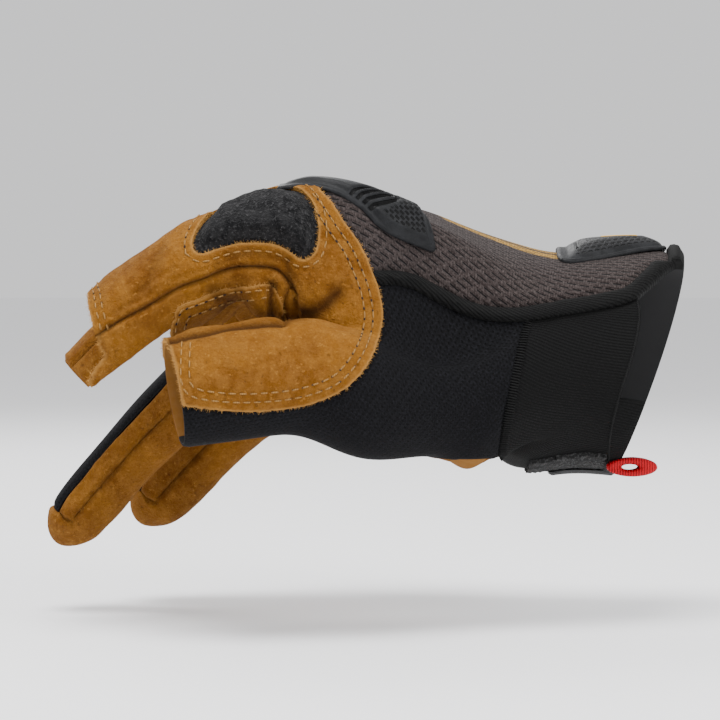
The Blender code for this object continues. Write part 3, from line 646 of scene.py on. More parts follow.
def side_panel(depths, y, index_back):
    """Panel on the thumb side, by the outlines."""
    if y < INSET_REACH and depths["inset"] > 0:
        return "knuckle_inset"
    if index_back or depths["saddle"] > 0:
        return "saddle"
    if depths["above"] > 0:
        return "back_knit" if depths["end"] > 0 else "binding"
    if depths["below"] < 0:
        return "binding"
    if depths["cuff"] < 0:
        return "side_knit"
    return "cuff_elastic" if depths["mouth"] > 0 else None


def panel_of(row, strip, centre, depths):
    """Name of the panel that a face belongs to, or None where the stall is cut away."""
    finger = row[:-1]
    if row.startswith("thumb"):
        if strip in ("7", "0"):
            return "palm"
        return "saddle" if depths["saddle"] > 0 else "side_knit"
    if finger == "index":
        if strip in ("Mb", "Pc", "Pb"):
            return "palm" if centre[0] > PALM_CUT else None
        if strip == "Pa" or (strip in ("Ma", "Mw", "Mr") and depths["seam"] > 0):
            return "index_side" if depths["rim"] > 0 else None
        if depths["hem"] < 0:
            return None
        return GUSSETS[0] if strip == "Dc" else side_panel(depths, centre[1], True)
    if finger in FINGERS:
        if row.endswith("9"):
            return "palm"
        if finger == "middle" and strip in ("Mb", "Pc", "Pb", "Pa") and centre[0] < PALM_CUT:
            return None
        if strip in ("Da", "Db") or (strip == "Dc" and finger == "little"):
            return finger + "_back"
        if strip in ("Ma", "Dc"):
            return GUSSETS[list(FINGERS).index(finger) - (strip == "Ma")]
        return "palm"
    if row == "web" and strip in ("P0", "R1", "W", "R7") and depths["seam"] > 0:
        return "index_side"
    if strip in THUMB_SIDE or (strip, row) == ("R1", "web"):
        return side_panel(depths, centre[1], row == "web")
    if strip.startswith("D"):
        if row == "web":
            return next(finger for finger, strips in FINGER_BACK.items() if strip in strips) + "_back"
        return "back_knit" if depths["end"] > 0 or centre[2] < 13 else "binding"
    if depths["cuff"] >= 0:
        return "cuff_elastic"
    beside_heel = strip in PALM_EDGE_STRIPS and row in ("heel", "palm")
    return "side_knit" if beside_heel and depths["palm_edge"] > 0 else "palm"


class Panel:
    """Faces taken from a skin: points and normals in millimetres, and a weave map."""

    def __init__(self, faces, weave_layer):
        faces = list(faces)
        verts = list({vert: None for face in faces for vert in face.verts})
        place = {vert: i for i, vert in enumerate(verts)}
        self.points = np.array([tuple(vert.co) for vert in verts])
        self.normals = np.array([tuple(vert.normal) for vert in verts])
        self.faces = [tuple(place[vert] for vert in face.verts) for face in faces]
        self.weave = [tuple(tuple(loop[weave_layer].uv) for loop in face.loops) for face in faces]
        self.find_rim()

    def find_rim(self):
        uses = {}
        for face in self.faces:
            for a, b in zip(face, face[1:] + face[:1]):
                uses.setdefault((min(a, b), max(a, b)), []).append((a, b))
        self.rim = [ways[0] for ways in uses.values() if len(ways) == 1]
        tree = kdtree.KDTree(3 * len(self.rim))
        for n, (a, b) in enumerate(self.rim):
            for k in range(3):
                tree.insert(self.points[a] + (self.points[b] - self.points[a]) * k / 3, 3 * n + k)
        tree.balance()
        self.border = np.array([tree.find(point)[2] for point in self.points])

    def finer(self):
        """The same panel with every face split once more, and its normals made again."""
        mesh = bpy.data.meshes.new("fine")
        mesh.from_pydata(self.points.tolist(), [], self.faces)
        layer = mesh.uv_layers.new(name="weave")
        layer.data.foreach_set("uv", [value for corners in self.weave for uv in corners for value in uv])
        fine = subdivided(mesh, 1)
        self.points = np.array([tuple(vert.co) for vert in fine.vertices])
        self.normals = np.array([tuple(vert.normal) for vert in fine.vertices])
        self.faces = [tuple(face.vertices) for face in fine.polygons]
        uv = fine.uv_layers["weave"].data
        self.weave = [tuple(tuple(uv[i].uv) for i in face.loop_indices) for face in fine.polygons]
        bpy.data.meshes.remove(fine)
        self.find_rim()
        return self

    def wall(self, name, lift, drop, material, reverse=None, **marks):
        """Closed wall: its outer face lift above the skin, its inner face drop below it."""
        count = len(self.points)
        outer = (self.points + self.normals * np.reshape(lift, (-1, 1))) * MM
        inner = (self.points - self.normals * np.reshape(drop, (-1, 1))) * MM
        faces = list(self.faces)
        faces += [tuple(i + count for i in reversed(face)) for face in self.faces]
        faces += [(b, a, a + count, b + count) for a, b in self.rim]
        mesh = bpy.data.meshes.new(name)
        mesh.from_pydata(np.vstack([outer, inner]).tolist(), [], faces)
        weave_at = {}
        for face, corners in zip(self.faces, self.weave):
            weave_at.update(zip(face, corners))
        uv = [value for corners in self.weave for pair in corners for value in pair]
        uv += [value for corners in self.weave for pair in reversed(corners) for value in pair]
        uv += [value for a, b in self.rim for i in (b, a, a, b) for value in weave_at[i]]
        mesh.uv_layers.new(name="weave").data.foreach_set("uv", uv)
        for mark, values in {"border": self.border * MM, **marks}.items():
            attribute = mesh.attributes.new(mark, "FLOAT", "POINT")
            attribute.data.foreach_set("value", np.tile(values, 2))
        mesh.materials.append(material)
        if reverse:
            mesh.materials.append(reverse)
            side = np.zeros(len(faces), int)
            side[len(self.faces):2 * len(self.faces)] = 1
            mesh.polygons.foreach_set("material_index", side)
        mesh.shade_smooth()
        mesh.set_sharp_from_angle(angle=math.radians(60))
        piece = put(name, mesh)
        return piece


weave = skin.loops.layers.uv["weave"]
points = np.array([tuple(vert.co) for vert in skin.verts])
depths_at = {name: depth(points[:, [0, 2]]) for name, depth in outlines.items()}
depths_at["palm_edge"] = palm_edge(points)
depths_at["end"] = cuff_end(points)
skin.verts.index_update()
pattern = {}
for face in skin.faces:
    row, strip = regions[face.material_index]
    corners = [vert.index for vert in face.verts]
    mean = {name: values[corners].sum() for name, values in depths_at.items()}
    name = panel_of(row, strip, face.calc_center_median(), mean)
    if name:
        pattern.setdefault(name, []).append(face)

# Suede.  Split leather, tan, with a short nap that lies in lighter and darker patches, small
# pores, a paler cut edge, and painted shade in its folds, creases and seam grooves.  All leather pieces
# are cut from it.
SUEDE_WALL = 1.6
SUEDE_DARK = (0.10, 0.032, 0.0035, 1)
SUEDE = (0.198, 0.077, 0.0085, 1)
SUEDE_LIGHT = (0.32, 0.15, 0.03, 1)
# Dark brown of the pores, also used as the painted shade in folds and creases.
SUEDE_PORE_AND_FOLD_SHADE = (0.020, 0.0055, 0.0006, 1)
SUEDE_CUT = (0.36, 0.185, 0.05, 1)
SUEDE_CUT_WIDTH = 0.0009
SUEDE_BACK = (0.22, 0.11, 0.035, 1)
SEAM_DIP = 0.85
SEAM_WIDTH = 1.5


def node(tree, kind, **inputs):
    """New node, with the values or the links of its inputs."""
    new = tree.nodes.new(kind)
    for name, value in inputs.items():
        socket = new.inputs[int(name[1:])] if name[0] == "_" and name[1:].isdigit() else new.inputs[name]
        if isinstance(value, bpy.types.NodeSocket):
            tree.links.new(value, socket)
        else:
            socket.default_value = value
    return new


def mixed(tree, share, first, second):
    """Colour between two, by a share."""
    mix = tree.nodes.new("ShaderNodeMix")
    mix.data_type = "RGBA"
    for socket, value in ((mix.inputs[0], share), (mix.inputs[6], first), (mix.inputs[7], second)):
        if isinstance(value, bpy.types.NodeSocket):
            tree.links.new(value, socket)
        else:
            socket.default_value = value
    return mix.outputs[2]


def calc(tree, operation, *values):
    """Result of a maths node."""
    maths = tree.nodes.new("ShaderNodeMath")
    maths.operation = operation
    for socket, value in zip(maths.inputs, values):
        if isinstance(value, bpy.types.NodeSocket):
            tree.links.new(value, socket)
        else:
            socket.default_value = value
    return maths.outputs[0]


def ranged(tree, value, low, high, to_low=0.0, to_high=1.0):
    """Value taken smoothly from one range to another."""
    ranged_node = tree.nodes.new("ShaderNodeMapRange")
    ranged_node.interpolation_type = "SMOOTHSTEP"
    tree.links.new(value, ranged_node.inputs[0])
    for socket, number in zip(ranged_node.inputs[1:5], (low, high, to_low, to_high)):
        socket.default_value = number
    return ranged_node.outputs[0]


def noise(tree, where, scale, detail=3.0, roughness=0.6):
    """Value of a noise texture, with features 1 / scale metres wide."""
    texture = node(tree, "ShaderNodeTexNoise", Scale=scale, Detail=detail, Roughness=roughness)
    tree.links.new(where, texture.inputs["Vector"])
    return texture.outputs["Fac"]


def place_on(tree):
    """Place on the piece, in metres."""
    return tree.nodes.new("ShaderNodeTexCoord").outputs["Object"]


def mark_of(tree, name):
    """Value of a mark that the mesh holds at its points."""
    attribute = tree.nodes.new("ShaderNodeAttribute")
    attribute.attribute_name = name
    return attribute.outputs["Fac"]


def bumped(tree, shader, height, distance, strength=1.0):
    """Relief of a height, in metres."""
    bump = node(tree, "ShaderNodeBump", Height=height, Distance=distance, Strength=strength)
    tree.links.new(bump.outputs[0], shader.inputs["Normal"])


suede, tree, shader = shader_of("suede", SUEDE, 0.92)
here = place_on(tree)
patches = ranged(tree, noise(tree, here, 60, 3, 0.6), 0.36, 0.66)
nap = ranged(tree, noise(tree, here, 330, 4, 0.72), 0.32, 0.68)
fibre = ranged(tree, noise(tree, here, 1400, 3, 0.8), 0.36, 0.66)
specks = ranged(tree, noise(tree, here, 900, 2, 0.6), 0.60, 0.72)
pores = ranged(tree, noise(tree, here, 620, 2, 0.55), 0.62, 0.74)
colour = mixed(tree, calc(tree, "MULTIPLY", patches, 0.75), SUEDE, SUEDE_DARK)
colour = mixed(tree, calc(tree, "MULTIPLY", nap, 0.4), colour, SUEDE_LIGHT)
colour = mixed(tree, calc(tree, "MULTIPLY", fibre, 0.32), colour, SUEDE_DARK)
colour = mixed(tree, calc(tree, "MULTIPLY", specks, 0.5), colour, SUEDE_LIGHT)
colour = mixed(tree, calc(tree, "MULTIPLY", pores, 0.35), colour, SUEDE_PORE_AND_FOLD_SHADE)
edge = ranged(tree, mark_of(tree, "border"), SUEDE_CUT_WIDTH, 0.0, 0.0, 0.6)
colour = mixed(tree, calc(tree, "MULTIPLY", edge, mark_of(tree, "raw")), colour, SUEDE_CUT)
# Painted shade: folds, creases and seam grooves are darkened by each piece's mark of how deep they are.
colour = mixed(tree, calc(tree, "MULTIPLY", mark_of(tree, "crease"), 0.9), colour, SUEDE_PORE_AND_FOLD_SHADE)
tree.links.new(colour, shader.inputs["Base Color"])
relief = calc(tree, "ADD", calc(tree, "MULTIPLY", nap, 0.6), calc(tree, "MULTIPLY", fibre, 0.4))
bumped(tree, shader, relief, 0.00045, 0.9)
shader.inputs["Sheen Weight"].default_value = 0.04
shader.inputs["Sheen Tint"].default_value = (0.9, 0.6, 0.3, 1)
shader.inputs["Specular IOR Level"].default_value = 0.08
# The other side of the leather is smoother and paler.
suede_back, tree, shader = shader_of("suede_back", SUEDE_BACK, 0.8)
here = place_on(tree)
colour = mixed(tree, noise(tree, here, 500, 3, 0.6), SUEDE, SUEDE_BACK)
tree.links.new(colour, shader.inputs["Base Color"])
shader.inputs["Specular IOR Level"].default_value = 0.1


def ripple(points, size, seed):
    """Smooth uneven height between about -1 and 1, from crossed waves of one size."""
    draw = np.random.default_rng(seed)
    height = np.zeros(len(points))
    for _ in range(7):
        way = draw.normal(size=3)
        way *= math.tau / size * draw.uniform(0.7, 1.4) / np.linalg.norm(way)
        height += np.sin(points @ way + draw.uniform(0, math.tau))
    return height / 3.5


def step_up(values, start, end):
    """Goes smoothly from 0 at start to 1 at end."""
    t = np.clip((values - start) / (end - start), 0, 1)
    return t * t * (3 - 2 * t)


def leather_lift(panel, seed, swell=0.45):
    """Height of leather over the skin: sunk at its seams, swollen beside them, a little uneven."""
    d = panel.border
    lift = -SEAM_DIP * np.exp(-(d / (SEAM_WIDTH / 2)) ** 2)
    lift += swell * step_up(d, 0.3, 3.0)
    lift += 0.22 * ripple(panel.points, 22, seed) + 0.10 * ripple(panel.points, 7, seed + 1)
    lift += 0.35 * np.exp(-((d - 1.5) / 0.8) ** 2)
    lift += 0.16 * ripple(panel.points, 3.6, seed + 2) * np.exp(-d / 2.5)
    return lift

# Palm.  One large piece of suede covers the palm, the front of the fingers and the inner side of
# the thumb; it wraps round the tips of the two long stalls and is cut off straight at the others.
PALM_LAP = 1.3


def heel_tuck(panel):
    """How far the ball of the thumb is drawn in at its lowest."""
    x, _, z = panel.points.T
    return 3.3 * np.exp(-((x + 38.5) / 8) ** 2) * step_up(-z, 20, 28)


palm_panel = Panel(pattern["palm"], weave)
palm_lift = leather_lift(palm_panel, 11)
x, y, z = palm_panel.points.T
# Two creases run across it, at the middle of the palm and at the roots of the fingers.
palm_crease = 0.55 * np.exp(-((x + 60 + 0.25 * (y - 5)) / 2.2) ** 2)
palm_crease *= step_up(-z, -14, 2) * (y > -22) * (y < 32)
root_crease = 0.5 * np.exp(-((x + 84 - 0.2 * y) / 1.8) ** 2)
palm_crease += root_crease * (y < 36) * step_up(-z, -25, -10)
palm_lift -= palm_crease
palm_lift -= heel_tuck(palm_panel)
# Its edge laps over the side knit along the ball of the thumb.
lap = PALM_LAP * np.exp(-palm_panel.border / 3) * (y < -15) * (z < -8)
palm_lift += lap * step_up(x, -84, -78) * step_up(-x, 56, 66)
# Half of the creases' depth is painted into the suede as painted shade in them.
palm = palm_panel.wall("palm_suede", palm_lift, SUEDE_WALL, suede, suede_back,
                       crease=np.clip(palm_crease * 0.5, 0, 0.4))
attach(palm, "root")
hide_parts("palm")

# Finger gussets and the middle finger's back.  Strips of the same suede between the fingers,
# sewn edge to edge with the palm, so that each seam is a soft valley between two swollen lips.
for number, name in enumerate((*GUSSETS, "middle_back")):
    panel = Panel(pattern[name], weave)
    lift = leather_lift(panel, 20 + 3 * number)
    piece = panel.wall(name + "_suede", lift, SUEDE_WALL, suede, suede_back, crease=0 * panel.border)
    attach(piece, "root")
    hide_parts(name)

# Index finger's side.  A suede piece under the index seam, its end and its lower edge left raw;
# a deep upright fold and a small slit lie in it at the root of the thumb.
SIDE_FOLDS = (
    (1.3, 2.6, ((-92.3, 21.5), (-92.5, 17), (-92.3, 11))),
    (0.8, 1.4, ((-87.3, 16.4), (-88.4, 14.4), (-89.4, 13))),
    (3.0, 0.8, ((-108, 20), (-104, 17), (-101, 16))),
)


def seam_line(panel):
    """Distance to the index seam, for the parts of a panel on the thumb's side."""
    distance = to_line(panel.points[:, [0, 2]], rounded(INDEX_SEAM, closed=False))
    return np.where(panel.points[:, 1] < INDEX_SIDE_REACH + 2, distance, 99)


def folds(panel, lines):
    """Depth of folds seen along +Y, and the painted shade in them: rows of width, depth and the points
    x, z.
    """
    height = np.zeros(len(panel.points))
    dark = np.zeros(len(panel.points))
    plane = panel.points[:, [0, 2]]
    for width, depth, line in lines:
        distance = to_line(plane, rounded(line, closed=False))
        shape = np.exp(-(distance / width) ** 2)
        height -= depth * shape
        # Painted shade, darker in deeper folds.
        if depth > 0:
            dark = np.maximum(dark, np.clip(depth / 1.6, 0, 1) * shape ** 2)
    return height, dark


panel = Panel(pattern["index_side"], weave)
# Painted shade in its folds and along the groove of the index seam.
fold, dark = folds(panel, SIDE_FOLDS)
dark = np.maximum(dark, 0.7 * np.exp(-(seam_line(panel) / 0.4) ** 2))
raw = step_up(-panel.points[:, 0], 134, 136)
lift = leather_lift(panel, 40) + fold
index_panel = panel
index_lift = lift
index_side = panel.wall("index_side_suede", lift, SUEDE_WALL, suede, suede_back, crease=dark, raw=raw)
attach(index_side, "root")
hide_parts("index_side")

# Knuckle inset.  A kidney of thick, fleecy black knit over the index knuckle, padded, that swells
# up through the cut-out in the suede.
FLEECE = (0.0045, 0.0045, 0.005, 1)
FLEECE_LIGHT = (0.048, 0.047, 0.048, 1)
INSET_SINK = 0.4
INSET_SWELL = 3.0
fleece, tree, shader = shader_of("fleece", FLEECE, 0.95)
here = place_on(tree)
tuft = noise(tree, here, 1300, 2, 0.7)
tufts = noise(tree, here, 380, 2, 0.6)
colour = mixed(tree, ranged(tree, tuft, 0.5, 0.78), FLEECE, FLEECE_LIGHT)
colour = mixed(tree, calc(tree, "MULTIPLY", ranged(tree, tufts, 0.35, 0.65), 0.25), colour, FLEECE_LIGHT)
tree.links.new(colour, shader.inputs["Base Color"])
bumped(tree, shader, tuft, 0.0012, 1.0)
shader.inputs["Sheen Weight"].default_value = 0.03
shader.inputs["Specular IOR Level"].default_value = 0.1
# All knits and the elastic are plain and dark on their other side.
cloth_back = shader_of("cloth_back", (0.0035, 0.0035, 0.004, 1), 0.9)[0]
panel = Panel(pattern["knuckle_inset"], weave)
lift = -INSET_SINK + INSET_SWELL * step_up(panel.border, 0, 6) + 0.12 * ripple(panel.points, 2.5, 50)
inset = panel.wall("inset_fleece", lift, 1.8, fleece, cloth_back)
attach(inset, "root")
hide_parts("knuckle_inset")

# Saddle.  The big suede piece round the base of the thumb and up over the index knuckle.  It is
# laid on top of the knits, so its ragged edge stands proud, and it is folded over the thumb.
SADDLE_LIFT = 0.7
SADDLE_ROWS = (2.3, 4.6)
SADDLE_FOLDS = (
    (1.1, 1.5, ((-119, 7.2), (-111, 8.2), (-102.5, 10), (-94.5, 10.9), (-89, 11.5))),
    (1.2, -0.45, ((-119, 9.3), (-110, 10.9), (-100, 12.4), (-90, 13))),
    (2.6, 1.5, ((-88, 13.2), (-79.5, 15.3), (-74.5, 19.8))),
    (2.2, -0.7, ((-85.5, 17.2), (-81.2, 25), (-78, 30))),
    (1.3, 0.9, ((-88.2, 28.5), (-87.5, 24), (-86.2, 19.5))),
    (1.8, -0.7, ((-122.5, 21.5), (-120.5, 26), (-118.5, 30))),
    (2.4, 0.5, ((-126.5, 20.5), (-124, 26), (-121.5, 31))),
    (1.8, 0.5, ((-104, 29.6), (-97, 30.4), (-90, 29))),
    (1.5, 0.4, ((-134, 14), (-128, 19.5), (-124.5, 25))),
)
panel = Panel(pattern["saddle"], weave)
# The folds' depth also gives painted shade in them.
fold, dark = folds(panel, SADDLE_FOLDS)
d = panel.border
lift = SADDLE_LIFT + 0.25 * step_up(d, 0, 1.0) + 0.45 * step_up(d, 1.5, 7)
lift += 0.24 * ripple(panel.points, 18, 60) + 0.10 * ripple(panel.points, 6, 61)
# Two shallow troughs where the rows of stitches pull the leather down.
for row in SADDLE_ROWS:
    lift -= 0.22 * np.exp(-((d - row) / 0.7) ** 2)
lift += fold
# Along the index seam it is turned in and sewn instead.
seam = seam_line(panel)
lift -= 1.2 * np.exp(-(seam / 0.7) ** 2) + 0.35 * np.exp(-(seam / 2.5) ** 2)
# Painted shade along the seam's groove.
dark = np.maximum(dark, 0.7 * np.exp(-(seam / 0.4) ** 2))
raw = step_up(seam, 1.5, 3)
saddle_panel = panel
saddle_lift = lift
saddle = panel.wall("saddle_suede", lift, SUEDE_WALL, suede, suede_back, crease=dark, raw=raw)
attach(saddle, "root")
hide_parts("saddle")

# Side knit.  Fine, nearly black mesh knit from the thumb's underside to the cuff, with the small
# square holes of its weave painted darker, as painted shade in them.
SIDE_KNIT = (0.0018, 0.0018, 0.0024, 1)
SIDE_KNIT_LIGHT = (0.0075, 0.0075, 0.0095, 1)
MESH_HOLE_SHADE = (0.0006, 0.0006, 0.0008, 1)
MESH_PITCH = 0.0013
# Rows counted before the first one, so that none has a negative number.
ROWS_BEFORE = 400.0


def from_middle(tree, value):
    """Distance from the middle of a cell, 0 to 0.5."""
    return calc(tree, "ABSOLUTE", calc(tree, "SUBTRACT", calc(tree, "FRACT", value), 0.5))


def staggered(tree, row, shift=0.5):
    """Shift of every other row of cells."""
    return calc(tree, "MULTIPLY", calc(tree, "MODULO", calc(tree, "FLOOR", row), 2.0), shift)


def woven(tree, along, around, shift=0.5):
    """Place in a cell of the cloth: along and around its middle (0 to 0.5), and up it (0 to 1)."""
    uv = tree.nodes.new("ShaderNodeUVMap")
    uv.uv_map = "weave"
    split = tree.nodes.new("ShaderNodeSeparateXYZ")
    tree.links.new(uv.outputs[0], split.inputs[0])
    row = calc(tree, "ADD", calc(tree, "DIVIDE", split.outputs[1], around), ROWS_BEFORE)
    column = calc(tree, "ADD", calc(tree, "DIVIDE", split.outputs[0], along),
                  staggered(tree, row, shift))
    return from_middle(tree, column), from_middle(tree, row), calc(tree, "FRACT", row)


mesh_knit, tree, shader = shader_of("mesh_knit", SIDE_KNIT, 0.85)
across, down, _ = woven(tree, MESH_PITCH, MESH_PITCH)
pit = calc(tree, "MAXIMUM", across, down)
hole = ranged(tree, pit, 0.24, 0.14)
here = place_on(tree)
fuzz = noise(tree, here, 1800, 2, 0.7)
colour = mixed(tree, ranged(tree, fuzz, 0.4, 0.75), SIDE_KNIT, SIDE_KNIT_LIGHT)
# Painted shade in the holes.
colour = mixed(tree, hole, colour, MESH_HOLE_SHADE)
tree.links.new(colour, shader.inputs["Base Color"])
bumped(tree, shader, calc(tree, "SUBTRACT", calc(tree, "MULTIPLY", fuzz, 0.4), hole), 0.0005, 0.8)
shader.inputs["Specular IOR Level"].default_value = 0.12
for number, name in enumerate(("side_knit", "ring_back", "little_back")):
    panel = Panel(pattern[name], weave)
    lift = -0.5 * np.exp(-(panel.border / 0.9) ** 2) + 0.25 * ripple(panel.points, 26, 70 + number)
    piece = panel.wall(name + "_mesh", lift, 1.5, mesh_knit, cloth_back)
    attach(piece, "root")
    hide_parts(name)

# Back knit.  Brown-grey knit over the whole back of the hand, with staggered raised dashes and
# short slits between them; the slits, the dashes' ends and the grooves of fine ribs are painted dark,
# as painted shade.  Four plain gold stripes are printed on it.
BACK_KNIT = (0.022, 0.016, 0.0150, 1)
BACK_KNIT_LIGHT = (0.062, 0.049, 0.046, 1)
KNIT_SLIT_SHADE = (0.0036, 0.0026, 0.0026, 1)
GOLD = (0.30, 0.17, 0.035, 1)
DASH_LENGTH = 0.0035
DASH_PITCH = 0.0017
STRIPE_X = (-50, -10)
STRIPE_SLANT = 0.35
STRIPE_Y = ((-15, -10.5), (-9, -4), (-1.5, 8.5), (11, 16))
knit, tree, shader = shader_of("back_knit", BACK_KNIT, 0.85)
across, down, up = woven(tree, DASH_LENGTH, DASH_PITCH)
slit = calc(tree, "MULTIPLY", ranged(tree, up, 0.66, 0.80), ranged(tree, up, 1.0, 0.92))
slit = calc(tree, "MULTIPLY", slit, ranged(tree, across, 0.38, 0.30))
ends = calc(tree, "MULTIPLY", ranged(tree, across, 0.43, 0.5), 0.35)
here = place_on(tree)
fuzz = noise(tree, here, 1600, 2, 0.7)
ribs = woven(tree, 0.00062, 0.002, 0.0)[0]
colour = mixed(tree, ranged(tree, fuzz, 0.35, 0.75), BACK_KNIT, BACK_KNIT_LIGHT)
# Painted shade in the grooves between the fine ribs.
colour = mixed(tree, calc(tree, "MULTIPLY", ranged(tree, ribs, 0.3, 0.5), 0.35), colour, KNIT_SLIT_SHADE)
print_share = calc(tree, "MULTIPLY", mark_of(tree, "stripe"), ranged(tree, fuzz, 0.25, 0.5, 0.55, 0.95))
colour = mixed(tree, print_share, colour, GOLD)
# Painted shade in the slits and at the dashes' ends.
colour = mixed(tree, calc(tree, "MAXIMUM", slit, ends), colour, KNIT_SLIT_SHADE)
tree.links.new(colour, shader.inputs["Base Color"])
flank = calc(tree, "MULTIPLY", ranged(tree, down, 0.2, 0.5), 0.35)
dash = calc(tree, "SUBTRACT", 1.0, calc(tree, "MAXIMUM", slit, flank))
relief = calc(tree, "ADD", dash, calc(tree, "MULTIPLY", ribs, 0.25))
bumped(tree, shader, relief, 0.0008, 0.9)
shader.inputs["Sheen Weight"].default_value = 0.03
shader.inputs["Specular IOR Level"].default_value = 0.12
panel = Panel(pattern["back_knit"], weave)
lift = -0.6 * np.exp(-(panel.border / 1.2) ** 2) + 0.3 * ripple(panel.points, 30, 80)
x, y, z = panel.points.T
stripe = np.zeros(len(x))
for low, high in STRIPE_Y:
    stripe = np.maximum(stripe, step_up(np.minimum(y - low, high - y), -0.2, 0.4))
slanted = x + STRIPE_SLANT * y
stripe *= step_up(np.minimum(slanted - STRIPE_X[0], STRIPE_X[1] - slanted), -0.3, 0.5) * (z > 5)
back_knit = panel.wall("back_knit_cloth", lift, 1.5, knit, cloth_back, stripe=stripe)
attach(back_knit, "root")
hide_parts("back_knit")

# Cuff and binding.  The cuff is wide ribbed elastic that goes round the wrist under the palm; the
# binding is a folded elastic tape, sewn over the knit's edge from the thumb to the end of the cuff.
ELASTIC = (0.0011, 0.0011, 0.0011, 1)
ELASTIC_RIB_HIGHLIGHT = (0.0042, 0.0042, 0.0042, 1)
RIB_PITCH = 0.0009


def ribbed(name, pitch_along, pitch_around, colour_low, rib_highlight):
    """Elastic with fine ribs, their raised middles painted lighter and the grooves between them darker:
    painted highlight and painted shade.
    """
    material, tree, shader = shader_of(name, colour_low, 0.8)
    across, down, _ = woven(tree, pitch_along, pitch_around, 0.5)
    here = place_on(tree)
    fuzz = noise(tree, here, 2200, 2, 0.7)
    ridge = calc(tree, "MULTIPLY", ranged(tree, down, 0.5, 0.1),
                 ranged(tree, across, 0.5, 0.3, 0.55, 1.0))
    share = calc(tree, "MULTIPLY", ridge, ranged(tree, fuzz, 0.2, 0.8, 0.4, 1.0))
    # Painted highlight on the ribs' raised middles and painted shade between them, varied by the fuzz.
    tree.links.new(mixed(tree, share, colour_low, rib_highlight), shader.inputs["Base Color"])
    bumped(tree, shader, calc(tree, "ADD", ridge, calc(tree, "MULTIPLY", fuzz, 0.4)), 0.0003, 0.7)
    shader.inputs["Specular IOR Level"].default_value = 0.12
    return material


elastic = ribbed("cuff_elastic", 0.0016, RIB_PITCH, ELASTIC, ELASTIC_RIB_HIGHLIGHT)
tape = ribbed("binding_tape", 0.003, 0.00075, (0.0018, 0.0018, 0.0018, 1), (0.0078, 0.0078, 0.0075, 1))
panel = Panel(pattern["cuff_elastic"], weave)
lift = 0.25 - 0.5 * np.exp(-(panel.border / 0.8) ** 2) + 0.2 * ripple(panel.points, 30, 90)
cuff_panel = panel
cuff_lift = lift
cuff = panel.wall("cuff_band", lift, 1.5, elastic, cloth_back)
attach(cuff, "root")
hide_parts("cuff_elastic")
panel = Panel(pattern["binding"], weave)
roll = 1.9 * np.sqrt(np.clip(1 - (1 - np.clip(panel.border / (BINDING_WIDTH / 2), 0, 1)) ** 2, 0, 1))
binding = panel.wall("binding_tape", roll + 0.1 * ripple(panel.points, 9, 91), 1.5, tape, cloth_back)
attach(binding, "root")
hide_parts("binding")

# Knuckle guard.  Moulded rubber, welded on the knit over the four knuckles: a thin flange, a
# steep side wall, four chevron grooves and a field of small pits on the lobe by the thumb.
GUARD = ((-88, -48), (-89, -25), (-91, -10), (-90, 4), (-86, 16), (-80, 30), (-76, 42), (-75, 56),
         (-51, 56), (-51, 42), (-51, 28), (-55, 12), (-57.5, -4), (-57.5, -16), (-55.5, -22), (-52, -29),
         (-49, -33), (-46.5, -37), (-44, -48))
GUARD_EDGE = ((-92, 47), (-85, 48), (-79.3, 47.5), (-74, 45.8), (-68, 42), (-64.2, 37.8), (-59.8, 35),
              (-53, 32.2), (-48, 30.2), (-44, 29.5))
GUARD_LOW = 9
RUBBER_CLEAR = 0.25
GUARD_FLANGE = 1.2
GUARD_FLANGE_WIDTH = 1.3
GUARD_TOP = 2.6
GROOVE_FIRST = -72.3
GROOVE_PITCH = 1.7
GROOVE_COUNT = 4
GROOVE_DEPTH = 1.1
GROOVE_REACH = (1.6, 15)
WALL_WIDTH = 2.9
PIT_PITCH = (1.75, 1.05)
PIT_REACH = (3.3, 14)
PIT_ROWS_BEFORE = 100.0
RUBBER = (0.0075, 0.0078, 0.0085, 1)
RUBBER_LIGHT = (0.0165, 0.017, 0.0185, 1)
# Near-black painted shade for grooves and pits.
RUBBER_RECESS_SHADE = (0.0008, 0.0008, 0.0009, 1)
rubber, tree, shader = shader_of("guard_rubber", RUBBER, 0.5)
here = place_on(tree)
dust = noise(tree, here, 260, 4, 0.6)
grain = noise(tree, here, 3000, 1, 0.5)


def band(tree, value, low, high, soft):
    """1 between two limits, 0 outside."""
    return calc(tree, "MULTIPLY", ranged(tree, value, low - soft, low + soft),
                ranged(tree, value, high + soft, high - soft))


inwards = calc(tree, "MULTIPLY", mark_of(tree, "border"), 1000.0)
phase = mark_of(tree, "chevron")
groove = ranged(tree, from_middle(tree, phase), 0.21, 0.27)
groove = calc(tree, "MULTIPLY", groove, band(tree, phase, -0.5, GROOVE_COUNT - 0.5, 0.02))
groove = calc(tree, "MULTIPLY", groove,
              calc(tree, "MULTIPLY", mark_of(tree, "lobe"), band(tree, inwards, *GROOVE_REACH, 0.2)))
row = calc(tree, "ADD", calc(tree, "DIVIDE", mark_of(tree, "across"), PIT_PITCH[1]), PIT_ROWS_BEFORE)
column = calc(tree, "DIVIDE", mark_of(tree, "along"), PIT_PITCH[0])
column = calc(tree, "ADD", column, staggered(tree, row))
pit = calc(tree, "MAXIMUM", from_middle(tree, column), from_middle(tree, row))
pit = ranged(tree, pit, 0.36, 0.27)
pit = calc(tree, "MULTIPLY", pit,
           calc(tree, "MULTIPLY", mark_of(tree, "field"), band(tree, inwards, *PIT_REACH, 0.1)))
